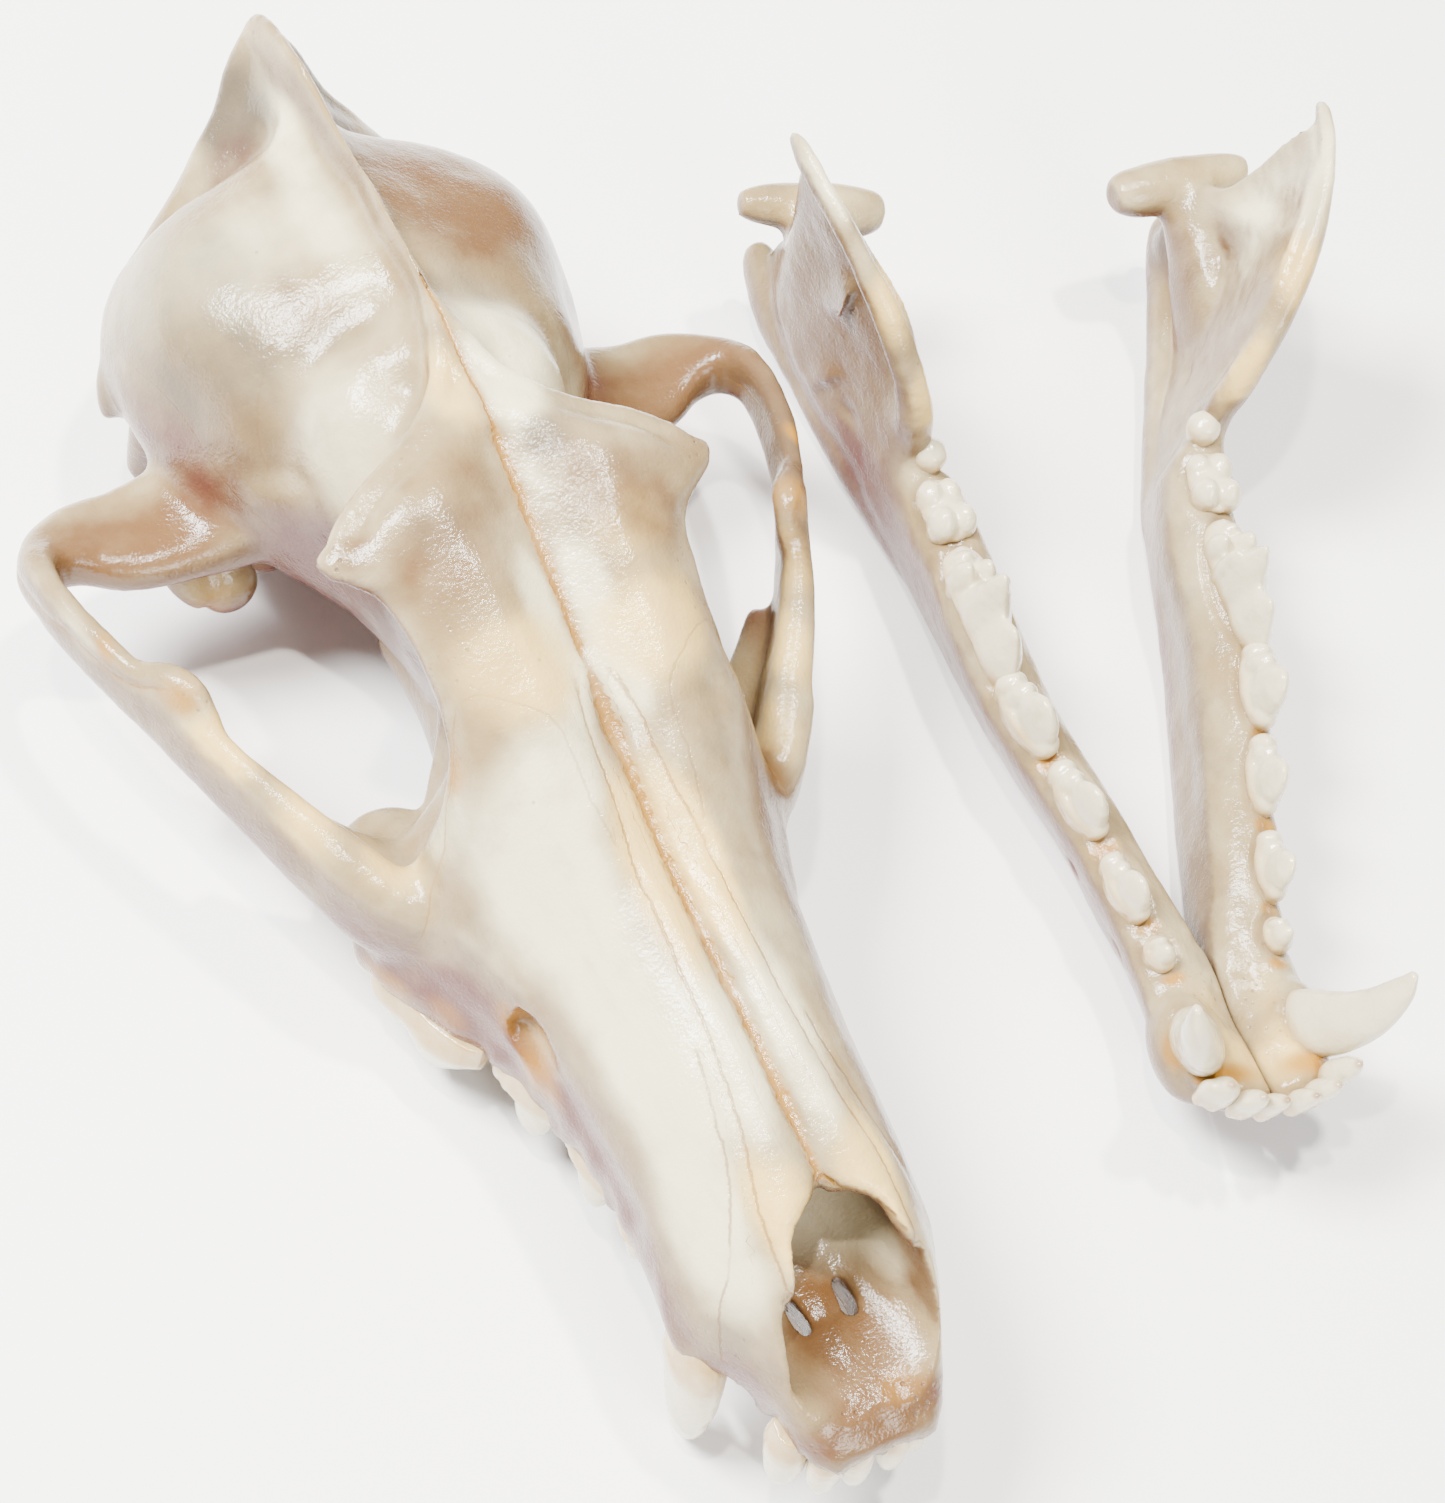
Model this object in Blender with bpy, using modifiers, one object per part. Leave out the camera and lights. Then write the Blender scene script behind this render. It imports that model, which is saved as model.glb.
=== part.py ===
"""Coyote skull, resting on a flat surface: the cranium with its upper teeth, and the lower jaw loose beside it.

Every bone is first drawn in its own frame in millimetres. The cranium's frame has x towards the animal's left,
y backwards from the tip of the snout and z up from the rim of the upper tooth sockets. The jaw's frame has the
same x and y, with y from the front of its tooth row, and z up from the surface on which the jaw lies.
"""
import math

import bmesh
import bpy
from mathutils import Euler, Matrix, Vector

MM = 0.001
OBJECT_NAME = "coyote_skull"

# Pose of the cranium: it rests on the canine tips and the jugular processes, nose up
CRANIUM_PITCH = math.radians(-6.82)
CRANIUM_LIFT = 21.05
# Pose of the lower jaw, beside the cranium's left
JAW_YAW = math.radians(-12.6)
JAW_PLACE = Vector((72.9, 22.1, -0.82))

# Clearance between a tooth and its socket, and between the two halves of the jaw
SOCKET_GAP = 0.32
SYMPHYSIS_GAP = 0.16

# Surface treatment of the fused bones
OUTLINE_POINTS = 36
CURVE_STEPS = 12
LIMB_SIDES = 16
LUMP_SEGMENTS = 24
LUMP_RINGS = 14
ROUNDING_PASSES = 3
CRANIUM_VOXEL = 1.1
JAW_VOXEL = 0.9
CRANIUM_FACES_KEPT = 0.0335
JAW_FACES_KEPT = 0.0215

# Cross-sections of snout, frontal region and braincase. Each is (y, half outline), and the half outline runs
# from the bottom middle to the top middle as (x, z).
TRUNK = (
    (0.0, ((0, 1.0), (5, 1.0), (7.5, 3), (5.5, 5.2), (0, 5.2))),
    (4.0, ((0, 1.0), (8.5, 1), (10.8, 4), (9.6, 8), (5, 9), (0, 9))),
    (9.0, ((0, 1.5), (9.5, 1), (12.8, 4), (12.4, 10), (9.8, 15.5), (4, 17.5), (0, 17.5))),
    (15.0, ((0, 2.5), (9, 1), (14, 1.5), (15.6, 5), (14.6, 12), (11.8, 19), (8.5, 23.5), (3.5, 25), (0, 24.5))),
    (21.0, ((0, 3), (10, 1.5), (15.5, 1), (17.4, 5), (16.2, 13), (12.6, 21), (8.8, 25.6), (4, 27), (0, 26.2))),
    (30.0, ((0, 3), (10, 2), (14.2, 0.5), (16.5, 5), (16.6, 13), (13.8, 22), (9.3, 27.8), (4, 29.8),
            (0, 28.8))),
    (42.0, ((0, 3), (10, 2.5), (14.8, 0), (16.8, 5), (17.3, 13), (14.8, 23), (9.8, 30), (4, 33), (0, 32))),
    (54.0, ((0, 3), (11, 2.5), (16, 0), (18.2, 5), (18.4, 13), (15.8, 24), (10.3, 31.6), (4.5, 34.6),
            (0, 33.6))),
    (64.0, ((0, 3), (13, 2.5), (18.8, 0), (21, 5), (20.8, 13), (17.3, 25), (11.3, 33.5), (5, 36.6), (0, 35.2))),
    (73.0, ((0, 3), (15, 2.5), (22.5, 0), (25.5, 4.5), (24.2, 13), (19.8, 26), (13.8, 36), (6.5, 40.2),
            (0, 38.2))),
    (80.0, ((0, 3), (17, 2.5), (26, 0), (29, 5), (27, 13), (21.8, 27), (16.3, 38.5), (8, 43.3), (0, 40.6))),
    (86.0, ((0, 3), (18, 2.5), (27.5, 0), (30, 5), (26.5, 13), (21.5, 26), (19, 38), (15.2, 43.5), (8, 46.2),
            (0, 43.2))),
    (92.0, ((0, 3), (17, 2.5), (26.5, 0.5), (28, 6), (21, 11), (15.5, 18), (15.5, 30), (18.2, 40.5),
            (15.7, 46.2), (8.5, 48.6), (0, 45.5))),
    (100.0, ((0, 3.5), (10, 3), (14, 4), (15, 8), (12, 13), (11.5, 22), (13.5, 33), (18.4, 43.5), (17.6, 48),
             (9.5, 51.6), (0, 49))),
    (108.0, ((0, 13), (7, 12), (9.5, 16), (11.5, 26), (14, 36), (20, 46), (20.2, 50.5), (10.5, 54.6), (0, 52))),
    (114.0, ((0, 13), (8, 12.5), (11, 18), (14, 30), (18.5, 43), (20.5, 51), (11, 56.2), (0, 54.6))),
    (120.0, ((0, 13), (9, 12.5), (12.5, 19), (15.2, 30), (16.6, 42), (14.5, 51.5), (7, 56.6), (0, 56))),
    (127.0, ((0, 12.5), (10.5, 12.5), (15, 19), (17, 30), (16.6, 41), (11.5, 50.5), (4.5, 56), (0, 57))),
    (134.0, ((0, 12), (12, 12.5), (19, 18), (21.6, 28), (19.6, 39), (13, 49), (4.5, 55), (0, 57))),
    (142.0, ((0, 12), (13, 12.5), (23, 17), (27.2, 27), (24.6, 38), (16.6, 48.5), (6, 55), (0, 57))),
    (151.0, ((0, 12), (14, 12.5), (25, 16), (30.6, 27), (27.2, 38), (19, 48.4), (7, 55), (0, 57))),
    (160.0, ((0, 12), (14.5, 12.5), (26, 15.5), (31.8, 26.5), (29.4, 37), (21.6, 47), (7.6, 54), (0, 56.5))),
    (169.0, ((0, 12), (14, 12.5), (26, 15), (31.4, 25), (29.4, 35), (21.8, 45.4), (7.4, 52.8), (0, 56))),
    (176.0, ((0, 12), (12, 13), (22.5, 16), (28.6, 25), (27, 33.5), (20, 43), (6.2, 51.2), (0, 56))),
    (182.0, ((0, 15), (10, 15), (17, 18), (22.6, 26), (21.4, 34), (15.8, 41.5), (5.2, 49.6), (0, 56.5))),
    (186.0, ((0, 23), (7, 21.5), (12.5, 25), (16.4, 31), (15.4, 37.5), (11, 43), (4.4, 49.6), (0, 57))),
    (190.0, ((0, 36), (6, 36), (9.2, 40), (7.6, 45), (4.8, 50), (2.2, 54.5), (0, 56.5))),
    (193.0, ((0, 47), (2.4, 48), (3.6, 51), (2.2, 54.4), (0, 56))),
)

# Crests and processes of the cranium's left side, each a run of (x, y, z, half thickness, half depth)
SAGITTAL_CREST = (
    (0, 121, 51.5, 3.0, 5.5), (0, 130, 52.6, 2.0, 6), (0, 140, 54.6, 1.6, 6.2), (0, 155, 55, 1.4, 6.5),
    (0, 168, 55.2, 1.3, 6.7), (0, 180, 55.4, 1.3, 6.9), (0, 188, 54.2, 1.6, 6.5), (0, 194, 52.5, 2.0, 5.2),
)
NUCHAL_CREST = (
    (0, 193.4, 54.0, 2.0, 3.2), (3.8, 191.8, 50, 1.9, 2.6), (6.6, 189.4, 45, 1.9, 2.6),
    (10.6, 187, 40.2, 1.9, 2.8), (14.6, 184, 35.8, 1.8, 3.1), (19.8, 179.8, 30.8, 1.9, 3.8),
    (26, 174, 27, 2.1, 4.4), (30.5, 170, 22.5, 2.4, 4.2), (31.5, 168, 18, 2.8, 3.6), (31, 167.3, 14, 2.6, 2.8),
)
ZYGOMATIC_ARCH = (
    (21, 79, 13, 4.5, 7.0), (27.5, 84, 15, 4.2, 7.2), (33.2, 92.5, 18.5, 3.6, 6.8), (38.4, 101.5, 22, 3.0, 6.3),
    (43.2, 111.5, 25, 2.4, 6.0), (47.3, 121, 26.4, 2.1, 5.4), (50.0, 130, 26.2, 2.0, 4.9),
    (51.2, 138, 25.2, 2.2, 4.7), (49.8, 143.4, 23, 3.2, 4.3), (44.2, 146, 21.4, 6.0, 3.9),
    (37, 145.4, 20.6, 8.0, 3.8), (29, 145.4, 21, 9.0, 4.6), (22, 145, 22, 8.6, 5.5),
)
ORBIT_FLOOR = (
    (22, 88, 8, 6.0, 4.0), (28, 94, 10.5, 5.6, 3.6), (33.2, 100, 14.5, 3.6, 3.0), (37.6, 106, 18, 2.4, 2.4),
)
JUGAL_PROCESS = ((44.4, 115.5, 27, 2.6, 4.2), (43.0, 115.0, 30.5, 2.3, 3.0), (41.4, 114.0, 32.6, 1.6, 1.8))
POSTORBITAL_PROCESS = (
    (10, 106, 48.6, 5.5, 4.0), (17, 109.5, 49.6, 4.6, 3.0),
    (21.5, 111.2, 50, 3.2, 2.2), (25, 112.2, 50, 1.4, 1.3),
)
TEMPORAL_LINE = (
    (22.5, 113.5, 51, 1.6, 1.6), (17.5, 118.5, 52.3, 1.6, 2.4),
    (12, 124, 53.4, 1.7, 2.8), (6, 130, 55, 1.8, 2.8),
    (1.2, 137.5, 57.2, 1.7, 2.8),
)
RETROARTICULAR_PROCESS = ((33, 146, 18, 5.5, 4.0), (30, 143, 13.5, 4.6, 3.4), (27.6, 141, 10.4, 3.8, 2.8))
JUGULAR_PROCESS = ((23, 168.5, 15, 4.0, 4.6), (24.5, 170.5, 8, 2.8, 3.2), (25, 172, -1.05, 2.0, 2.2))
PTERYGOID_PLATE = (
    (10, 99, 8, 1.9, 5.4), (8.2, 110, 9, 1.4, 5.4), (7.6, 120, 9, 1.3, 5.2), (7.8, 128, 7, 1.3, 3.6),
)
CANINE_RIDGE = (
    (14.3, 21, 3, 3.4, 3.6), (13.8, 27, 9, 3.6, 4.0), (12.4, 33, 15, 3.4, 4.0), (10.5, 38, 20, 3.0, 3.4),
)

# Rounded lumps of the cranium's left side: (centre, radii)
BULLA = ((18.0, 150.0, 8.6), (8.4, 13.0, 9.4))
OCCIPITAL_CONDYLE = ((10.6, 180.5, 18.4), (6.4, 6.8, 8.4))
MAXILLARY_TUBEROSITY = ((20.5, 96.5, 5.6), (7.2, 7.0, 3.8))

# Hollows of the cranium: outline of the nose opening seen from above, then the cavity behind it
NOSE_OPENING = (
    (0, 4.5), (4.5, 5.2), (7.4, 8.5), (8.2, 12.5), (7.8, 16.5), (6.2, 20), (4.6, 23), (2.4, 25.6), (0.4, 26.8),
)
NOSE_OPENING_FLOOR = 7.0
NOSE_OPENING_TOP = 45.0
NASAL_CAVITY = (
    (0, 10, 12, 5.5, 5.5), (0, 16, 14.5, 8.4, 8.4), (0, 26, 16, 9.4, 9.2), (0, 38, 17.2, 9.6, 10.4),
    (0, 50, 18.5, 8.6, 10),
)
PALATINE_FISSURE = ((2.9, 12.5, 3, 1.0), (3.5, 17.5, 3, 1.5), (3.4, 23.0, 3, 1.1))
FISSURE_DEPTH = 7.0
FORAMEN_MAGNUM = ((0.0, 184.0, 24.5), (8.6, 15.0, 7.0))
INFRAORBITAL_CANAL = ((21.5, 56, 14, 2.2, 3.8), (19.4, 62, 14.6, 2.1, 3.8), (17.4, 69, 15.2, 1.7, 3.2))
EAR_OPENING = ((29.5, 155.0, 12.5), (4.5, 3.4, 3.4))

# Left half of the lower jaw: (y, x low, z low, x top, z top, half thickness low, half thickness top)
DENTARY = (
    (-3, 3.9, 16.5, 4.1, 21.1, 2.6, 3.2), (1, 3.9, 12, 4.7, 21.1, 3.2, 4.2),
    (6, 3.8, 7, 6, 19.9, 3.4, 5.6), (12, 3.9, 3.5, 6.6, 18.5, 3.4, 5.8),
    (19, 4, 1.8, 6, 17.9, 3.4, 5.8), (26, 4.6, 1.1, 7.3, 18.3, 3.2, 5.2),
    (34, 6.2, 0.6, 9.5, 19.1, 3, 4.9), (45, 8.4, 0.5, 12.5, 19.7, 2.9, 4.8),
    (58, 12, 0, 16.5, 20.3, 3, 4.9), (72, 15.4, 0, 18.9, 20.9, 3.1, 5.3),
    (86, 18.2, 0, 19.7, 21.5, 3.1, 5.2), (97, 20.6, 0.6, 21.3, 23.1, 3, 4.6),
    (101.5, 21.8, 0.8, 25, 35, 2.8, 2.2), (106, 23.2, 1.2, 28.2, 43.1, 2.6, 1.6),
    (113, 25.8, 2, 32.6, 49.9, 2.3, 1.3), (121, 28.6, 3.3, 36.3, 53.3, 2.1, 1.2),
    (128, 30.4, 4.7, 38.6, 54.7, 2, 1.2), (133, 31.2, 6.1, 39.6, 54.5, 1.9, 1.1),
    (136.5, 31.6, 9.5, 37.6, 45.5, 1.6, 1),
)
CORONOID_EDGE = (
    (21.8, 97, 18.5, 2.8, 3.4), (23.6, 100, 28.5, 2.2, 2.8),
    (26.0, 102.6, 36.5, 2.0, 2.4), (28.6, 105.8, 42.5, 1.9, 2.2),
    (31.6, 111, 47.7, 1.8, 2.1), (35.0, 118.5, 51.5, 1.7, 2.0),
    (38.0, 126.5, 53.5, 1.5, 1.8), (40.2, 134.6, 54.5, 1.4, 1.8),
)
RAMUS_LOWER_EDGE = (
    (18.8, 90, 4.6, 3.0, 4.6), (22.4, 103, 4.6, 2.8, 4.2), (26.4, 115, 5.3, 2.6, 3.8), (30, 127, 7.5, 2.5, 3.4),
    (31.8, 135, 8.5, 2.5, 3.2), (32.6, 143, 10.1, 2.2, 2.6),
)
JAW_NECK = ((28.5, 122, 22.5, 2.4, 6.0), (29.5, 131, 24.5, 2.8, 5.2), (30, 139, 26.9, 3.4, 3.8))
JAW_CONDYLE = (
    (18.6, 139.6, 26.9, 2.8, 2.8), (22.5, 140, 27.1, 3.9, 3.7),
    (28, 140.6, 27.5, 4.0, 3.8), (34, 141.2, 28.1, 3.5, 3.4),
    (40.4, 141.6, 28.9, 2.4, 2.4),
)
CANINE_BULGE = ((7.6, 10.0, 14.0), (5.0, 8.0, 6.4))

# Teeth of the left side. A peg is (name, gum centre, length, width, height, tip offset along and across the
# row, turn of the row in degrees). Upper teeth point down.
UPPER_PEGS = (
    ("incisor_1", (2.5, 1.4, 1.2), 3.4, 4.0, 7.4, (0.0, 0.8), 90),
    ("incisor_2", (6.6, 2.6, 1.2), 3.9, 4.6, 8.0, (0.0, 0.8), 70),
    ("incisor_3", (10.3, 6.2, 1.0), 5.6, 4.8, 9.2, (-0.8, 0.8), 34),
    ("premolar_1", (13.4, 38.6, 0.6), 6.0, 3.8, 5.0, (-0.3, 0.0), 2),
    ("premolar_2", (14.1, 49.2, 0.4), 10.6, 4.2, 7.4, (-0.8, 0.0), 4),
    ("premolar_3", (17.0, 61.6, 0.4), 11.6, 4.6, 7.8, (-0.8, 0.0), 16),
)
LOWER_PEGS = (
    ("incisor_1", (2.15, -2.0, 20.7), 2.5, 3.2, 5.6, (0.0, 1.2), 90),
    ("incisor_2", (5.2, -1.2, 20.7), 2.9, 3.6, 5.8, (0.2, 1.2), 78),
    ("incisor_3", (8.5, 0.9, 20.5), 3.6, 3.9, 6.0, (0.4, 1.2), 58),
    ("premolar_1", (8.8, 22.4, 18.1), 4.4, 3.4, 4.6, (-0.4, 0.0), 8),
    ("premolar_2", (11.0, 32.0, 18.7), 9.0, 4.1, 6.0, (-0.8, 0.0), 12),
    ("premolar_3", (14.0, 45.2, 19.5), 10.2, 4.5, 6.4, (-0.8, 0.0), 16),
    ("premolar_4", (17.8, 58.6, 20.1), 11.4, 5.2, 7.4, (-0.8, 0.0), 14),
)
# A grinder is (name, gum centre, length, width, height, turn)
UPPER_GRINDERS = (
    ("molar_1", (22.6, 89.4, 0.6), 11.4, 13.4, 5.0, -8),
    ("molar_2", (21.2, 98.4, 2.2), 6.0, 9.2, 3.6, -8),
)
LOWER_GRINDERS = (
    ("molar_2", (20.6, 90.4, 20.9), 8.8, 6.2, 4.0, 4),
    ("molar_3", (21.4, 98.2, 21.7), 4.6, 4.4, 2.8, 6),
)
# A blade is (name, gum centre, length, turn, stations of (share of length, half width, height))
UPPER_BLADE = (
    "premolar_4", (24.4, 75.6, 0.4), 18.6, 22,
    ((-0.5, 2.2, 1.6), (-0.3, 3.6, 6.2), (-0.08, 3.4, 10.4), (0.14, 2.6, 6.8), (0.34, 2.4, 7.0),
     (0.5, 1.2, 2.4)),
)
LOWER_BLADE = (
    "molar_1", (19.8, 74.6, 20.5), 20.4, 3,
    ((-0.5, 1.6, 2.4), (-0.32, 2.8, 7.2), (-0.14, 3.2, 8.4), (0.0, 3.5, 11.4), (0.16, 3.7, 6.6),
     (0.34, 3.9, 5.0), (0.5, 2.2, 2.2)),
)
# A canine is a run of (x, y, z, half width, half length) from the root to the tip
UPPER_CANINE = (
    (14.2, 22.5, 5.0, 2.8, 4.2), (14.5, 20.8, 1.0, 3.2, 5.2),
    (14.7, 19.4, -4.5, 2.9, 4.5), (14.7, 18.6, -10, 2.4, 3.5),
    (14.3, 18.6, -15, 1.7, 2.4), (13.9, 19.2, -19.0, 0.6, 0.8),
)
LOWER_CANINE = (
    (7.8, 11.5, 15, 2.8, 4.0), (8.4, 9.0, 19.1, 3.0, 4.6),
    (10.4, 6.6, 24.5, 2.8, 4.0), (12.8, 5.8, 29.5, 2.2, 3.1),
    (14.6, 6.2, 33.9, 1.5, 2.1), (15.6, 7.2, 37.3, 0.5, 0.7),
)
TOOTH_SIDES = 6
PEG_ROOT = 3.0
GRINDER_ROOT = 2.4
BLADE_ROOT = 2.8
# Crown profiles: (share of the height, share of the width, share of the tip's lean) of a peg,
# (share of the height, share of the width) of a grinder, (share of the half width, share of the height) of a blade
PEG_CROWN = ((0.0, 1.0, 0.0), (0.3, 0.94, 0.25), (0.66, 0.56, 0.75), (1.0, 0.14, 1.0))
PEG_ROOT_WIDTH = 0.72
GRINDER_CROWN = ((0.0, 0.94), (0.55, 1.0), (1.0, 0.66))
GRINDER_ROOT_WIDTH = 0.7
BLADE_CROWN = ((-1.0, 0.0), (-0.8, 0.5), (0.0, 1.0), (0.8, 0.5), (1.0, 0.0))
BLADE_ROOT_WIDTH = 0.75
# Where the two widths of a jaw section lie between its lower and upper edge
JAW_LOW_WIDTH_AT = 0.22
JAW_TOP_WIDTH_AT = 0.8

BONE_COLOUR = (0.80, 0.70, 0.55)
ENAMEL_COLOUR = (0.88, 0.84, 0.74)


def remove_everything():
    """Empty the scene, so that a second run starts clean."""
    for item in list(bpy.data.objects):
        bpy.data.objects.remove(item, do_unlink=True)


def make_collection(name):
    """A new collection under the scene."""
    collection = bpy.data.collections.new(name)
    bpy.context.scene.collection.children.link(collection)
    return collection


def make_material(name, colour, roughness):
    """A plain material with one colour."""
    material = bpy.data.materials.new(name)
    material.use_nodes = True
    shader = material.node_tree.nodes["Principled BSDF"]
    shader.inputs["Base Color"].default_value = (*colour, 1.0)
    shader.inputs["Roughness"].default_value = roughness
    shader.inputs["Metallic"].default_value = 0.0
    material.diffuse_color = (*colour, 1.0)
    return material


def sided(point, side):
    """A point of the left side, or its mirror image for side -1."""
    return Vector((point[0] * side, point[1], point[2]))


def spline_point(before, start, end, after, t):
    """A point on the smooth curve through four points, between the middle two."""
    return 0.5 * (
        2 * start
        + (end - before) * t
        + (2 * before - 5 * start + 4 * end - after) * t * t
        + (3 * start - before - 3 * end + after) * t ** 3
    )


def smooth_ring(points, count):
    """A closed smooth outline through the points, cut into count equal lengths."""
    total = len(points)
    fine = []
    for index in range(total):
        four = [points[(index + shift) % total] for shift in (-1, 0, 1, 2)]
        fine += [spline_point(*four, step / CURVE_STEPS) for step in range(CURVE_STEPS)]
    fine.append(fine[0])
    lengths = [0.0]
    for start, end in zip(fine, fine[1:]):
        lengths.append(lengths[-1] + (end - start).length)
    ring = []
    span = 0
    for index in range(count):
        wanted = lengths[-1] * index / count
        while lengths[span + 1] < wanted:
            span += 1
        share = (wanted - lengths[span]) / (lengths[span + 1] - lengths[span])
        ring.append(fine[span].lerp(fine[span + 1], share))
    return ring


def add_loft(bm, rings):
    """Join rings of equal count into one closed body with flat ends."""
    loops = [[bm.verts.new(point) for point in ring] for ring in rings]
    count = len(rings[0])
    faces = []
    for lower, upper in zip(loops, loops[1:]):
        for index in range(count):
            following = (index + 1) % count
            faces.append(bm.faces.new((lower[index], lower[following], upper[following], upper[index])))
    faces.append(bm.faces.new(loops[0][::-1]))
    faces.append(bm.faces.new(loops[-1]))
    bmesh.ops.recalc_face_normals(bm, faces=faces)


def add_limb(bm, run, side=1, sides=LIMB_SIDES, grow=0.0):
    """A closed limb along a run of (x, y, z, half thickness, half depth)."""
    places = [sided(item[:3], side) for item in run]
    rings = []
    for index, item in enumerate(run):
        ahead = places[min(index + 1, len(run) - 1)]
        behind = places[max(index - 1, 0)]
        along = (ahead - behind).normalized()
        reference = Vector((0, 0, 1)) if abs(along.z) < 0.8 else Vector((0, 1, 0))
        across = along.cross(reference).normalized()
        upward = across.cross(along).normalized()
        ends = (index == len(run) - 1) - (index == 0)
        centre = places[index] + along * grow * ends
        rings.append([
            centre
            + across * math.cos(2 * math.pi * step / sides) * (item[3] + grow)
            + upward * math.sin(2 * math.pi * step / sides) * (item[4] + grow)
            for step in range(sides)
        ])
    add_loft(bm, rings)


def add_lump(bm, centre, radii, side=1):
    """A rounded lump."""
    place = Matrix.Translation(sided(centre, side)) @ Matrix.Diagonal((*radii, 1.0))
    bmesh.ops.create_uvsphere(bm, u_segments=LUMP_SEGMENTS, v_segments=LUMP_RINGS, radius=1.0, matrix=place)


def to_object(bm, name, collection, material=None):
    """Write a body, drawn in millimetres, as an object in metres."""
    bmesh.ops.scale(bm, vec=(MM, MM, MM), verts=bm.verts)
    mesh = bpy.data.meshes.new(name)
    bm.to_mesh(mesh)
    bm.free()
    if material:
        mesh.materials.append(material)
    item = bpy.data.objects.new(name, mesh)
    collection.objects.link(item)
    return item


def as_cutter(item):
    """Mark an object as a shape that only cuts others."""
    item.hide_render = True
    item.display_type = "WIRE"
    return item


def fuse(item, voxel):
    """Grow overlapping lumps together into one skin."""
    remesh = item.modifiers.new("fuse", "REMESH")
    remesh.mode = "VOXEL"
    remesh.voxel_size = voxel * MM


def cut(item, collection):
    """Take every cutter of a collection out of the object."""
    boolean = item.modifiers.new("cut_" + collection.name, "BOOLEAN")
    boolean.operation = "DIFFERENCE"
    boolean.operand_type = "COLLECTION"
    boolean.collection = collection
    boolean.solver = "EXACT"


def smooth_and_thin(item, share):
    """Round the fused skin and keep a share of its faces."""
    smooth = item.modifiers.new("round", "SMOOTH")
    smooth.factor = 0.5
    smooth.iterations = ROUNDING_PASSES
    thin = item.modifiers.new("thin", "DECIMATE")
    thin.ratio = share


def trunk_ring(station):
    """Full cross-section of the trunk from its half outline."""
    y, half = station
    left = [Vector((x, y, z)) for x, z in half]
    right = [Vector((-x, y, z)) for x, z in half[-2:0:-1]]
    return smooth_ring(left + right, OUTLINE_POINTS)


def build_cranium_body(collection, material):
    """All the bones of the cranium as overlapping lumps."""
    bm = bmesh.new()
    add_loft(bm, [trunk_ring(station) for station in TRUNK])
    add_limb(bm, SAGITTAL_CREST)
    for side in (1, -1):
        for run in (NUCHAL_CREST, ZYGOMATIC_ARCH, ORBIT_FLOOR, JUGAL_PROCESS, POSTORBITAL_PROCESS,
                    TEMPORAL_LINE, RETROARTICULAR_PROCESS, JUGULAR_PROCESS, PTERYGOID_PLATE, CANINE_RIDGE):
            add_limb(bm, run, side)
        for centre, radii in (BULLA, OCCIPITAL_CONDYLE, MAXILLARY_TUBEROSITY):
            add_lump(bm, centre, radii, side)
    return to_object(bm, "cranium", collection, material)


def build_cranium_hollows(collection):
    """Cutters for the nose, the palate's slots and the openings of nerves, ear and spine."""
    bm = bmesh.new()
    right = [(-x, y) for x, y in NOSE_OPENING[-2:0:-1]]
    outline = list(NOSE_OPENING) + right
    levels = (NOSE_OPENING_FLOOR, NOSE_OPENING_TOP)
    add_loft(bm, [[Vector((x, y, z)) for x, y in outline] for z in levels])
    as_cutter(to_object(bm, "nose_opening", collection))
    bm = bmesh.new()
    add_limb(bm, NASAL_CAVITY)
    as_cutter(to_object(bm, "nasal_cavity", collection))
    bm = bmesh.new()
    add_lump(bm, *FORAMEN_MAGNUM)
    as_cutter(to_object(bm, "foramen_magnum", collection))
    for side in (1, -1):
        bm = bmesh.new()
        slot = [(*place, FISSURE_DEPTH) for place in PALATINE_FISSURE]
        add_limb(bm, slot, side)
        add_limb(bm, INFRAORBITAL_CANAL, side)
        add_lump(bm, *EAR_OPENING, side)
        as_cutter(to_object(bm, "small_openings", collection))


def dentary_ring(station, side):
    """Cross-section of one half of the jaw, from its lower and upper edge."""
    y, low_x, low_z, top_x, top_z, low_half, top_half = station
    low = Vector((low_x, y, low_z))
    top = Vector((top_x, y, top_z))
    lower = low.lerp(top, JAW_LOW_WIDTH_AT)
    upper = low.lerp(top, JAW_TOP_WIDTH_AT)
    across = Vector((1, 0, 0))
    points = [low, lower + across * low_half, upper + across * top_half, top,
              upper - across * top_half, lower - across * low_half]
    points = [Vector((max(point.x, SYMPHYSIS_GAP), point.y, point.z)) for point in points]
    return [Vector((max(point.x, SYMPHYSIS_GAP) * side, point.y, point.z))
            for point in smooth_ring(points, OUTLINE_POINTS)]


def build_dentary_body(side, name, collection, material):
    """One half of the lower jaw as overlapping lumps."""
    bm = bmesh.new()
    add_loft(bm, [dentary_ring(station, side) for station in DENTARY])
    for run in (CORONOID_EDGE, RAMUS_LOWER_EDGE, JAW_NECK, JAW_CONDYLE):
        add_limb(bm, run, side)
    add_lump(bm, *CANINE_BULGE, side)
    return to_object(bm, name, collection, material)


def row_axes(turn, side):
    """Unit vectors along and across a tooth row that is turned from straight back."""
    angle = math.radians(turn)
    along = Vector((math.sin(angle) * side, math.cos(angle), 0))
    across = Vector((math.cos(angle) * side, -math.sin(angle), 0))
    return along, across


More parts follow.
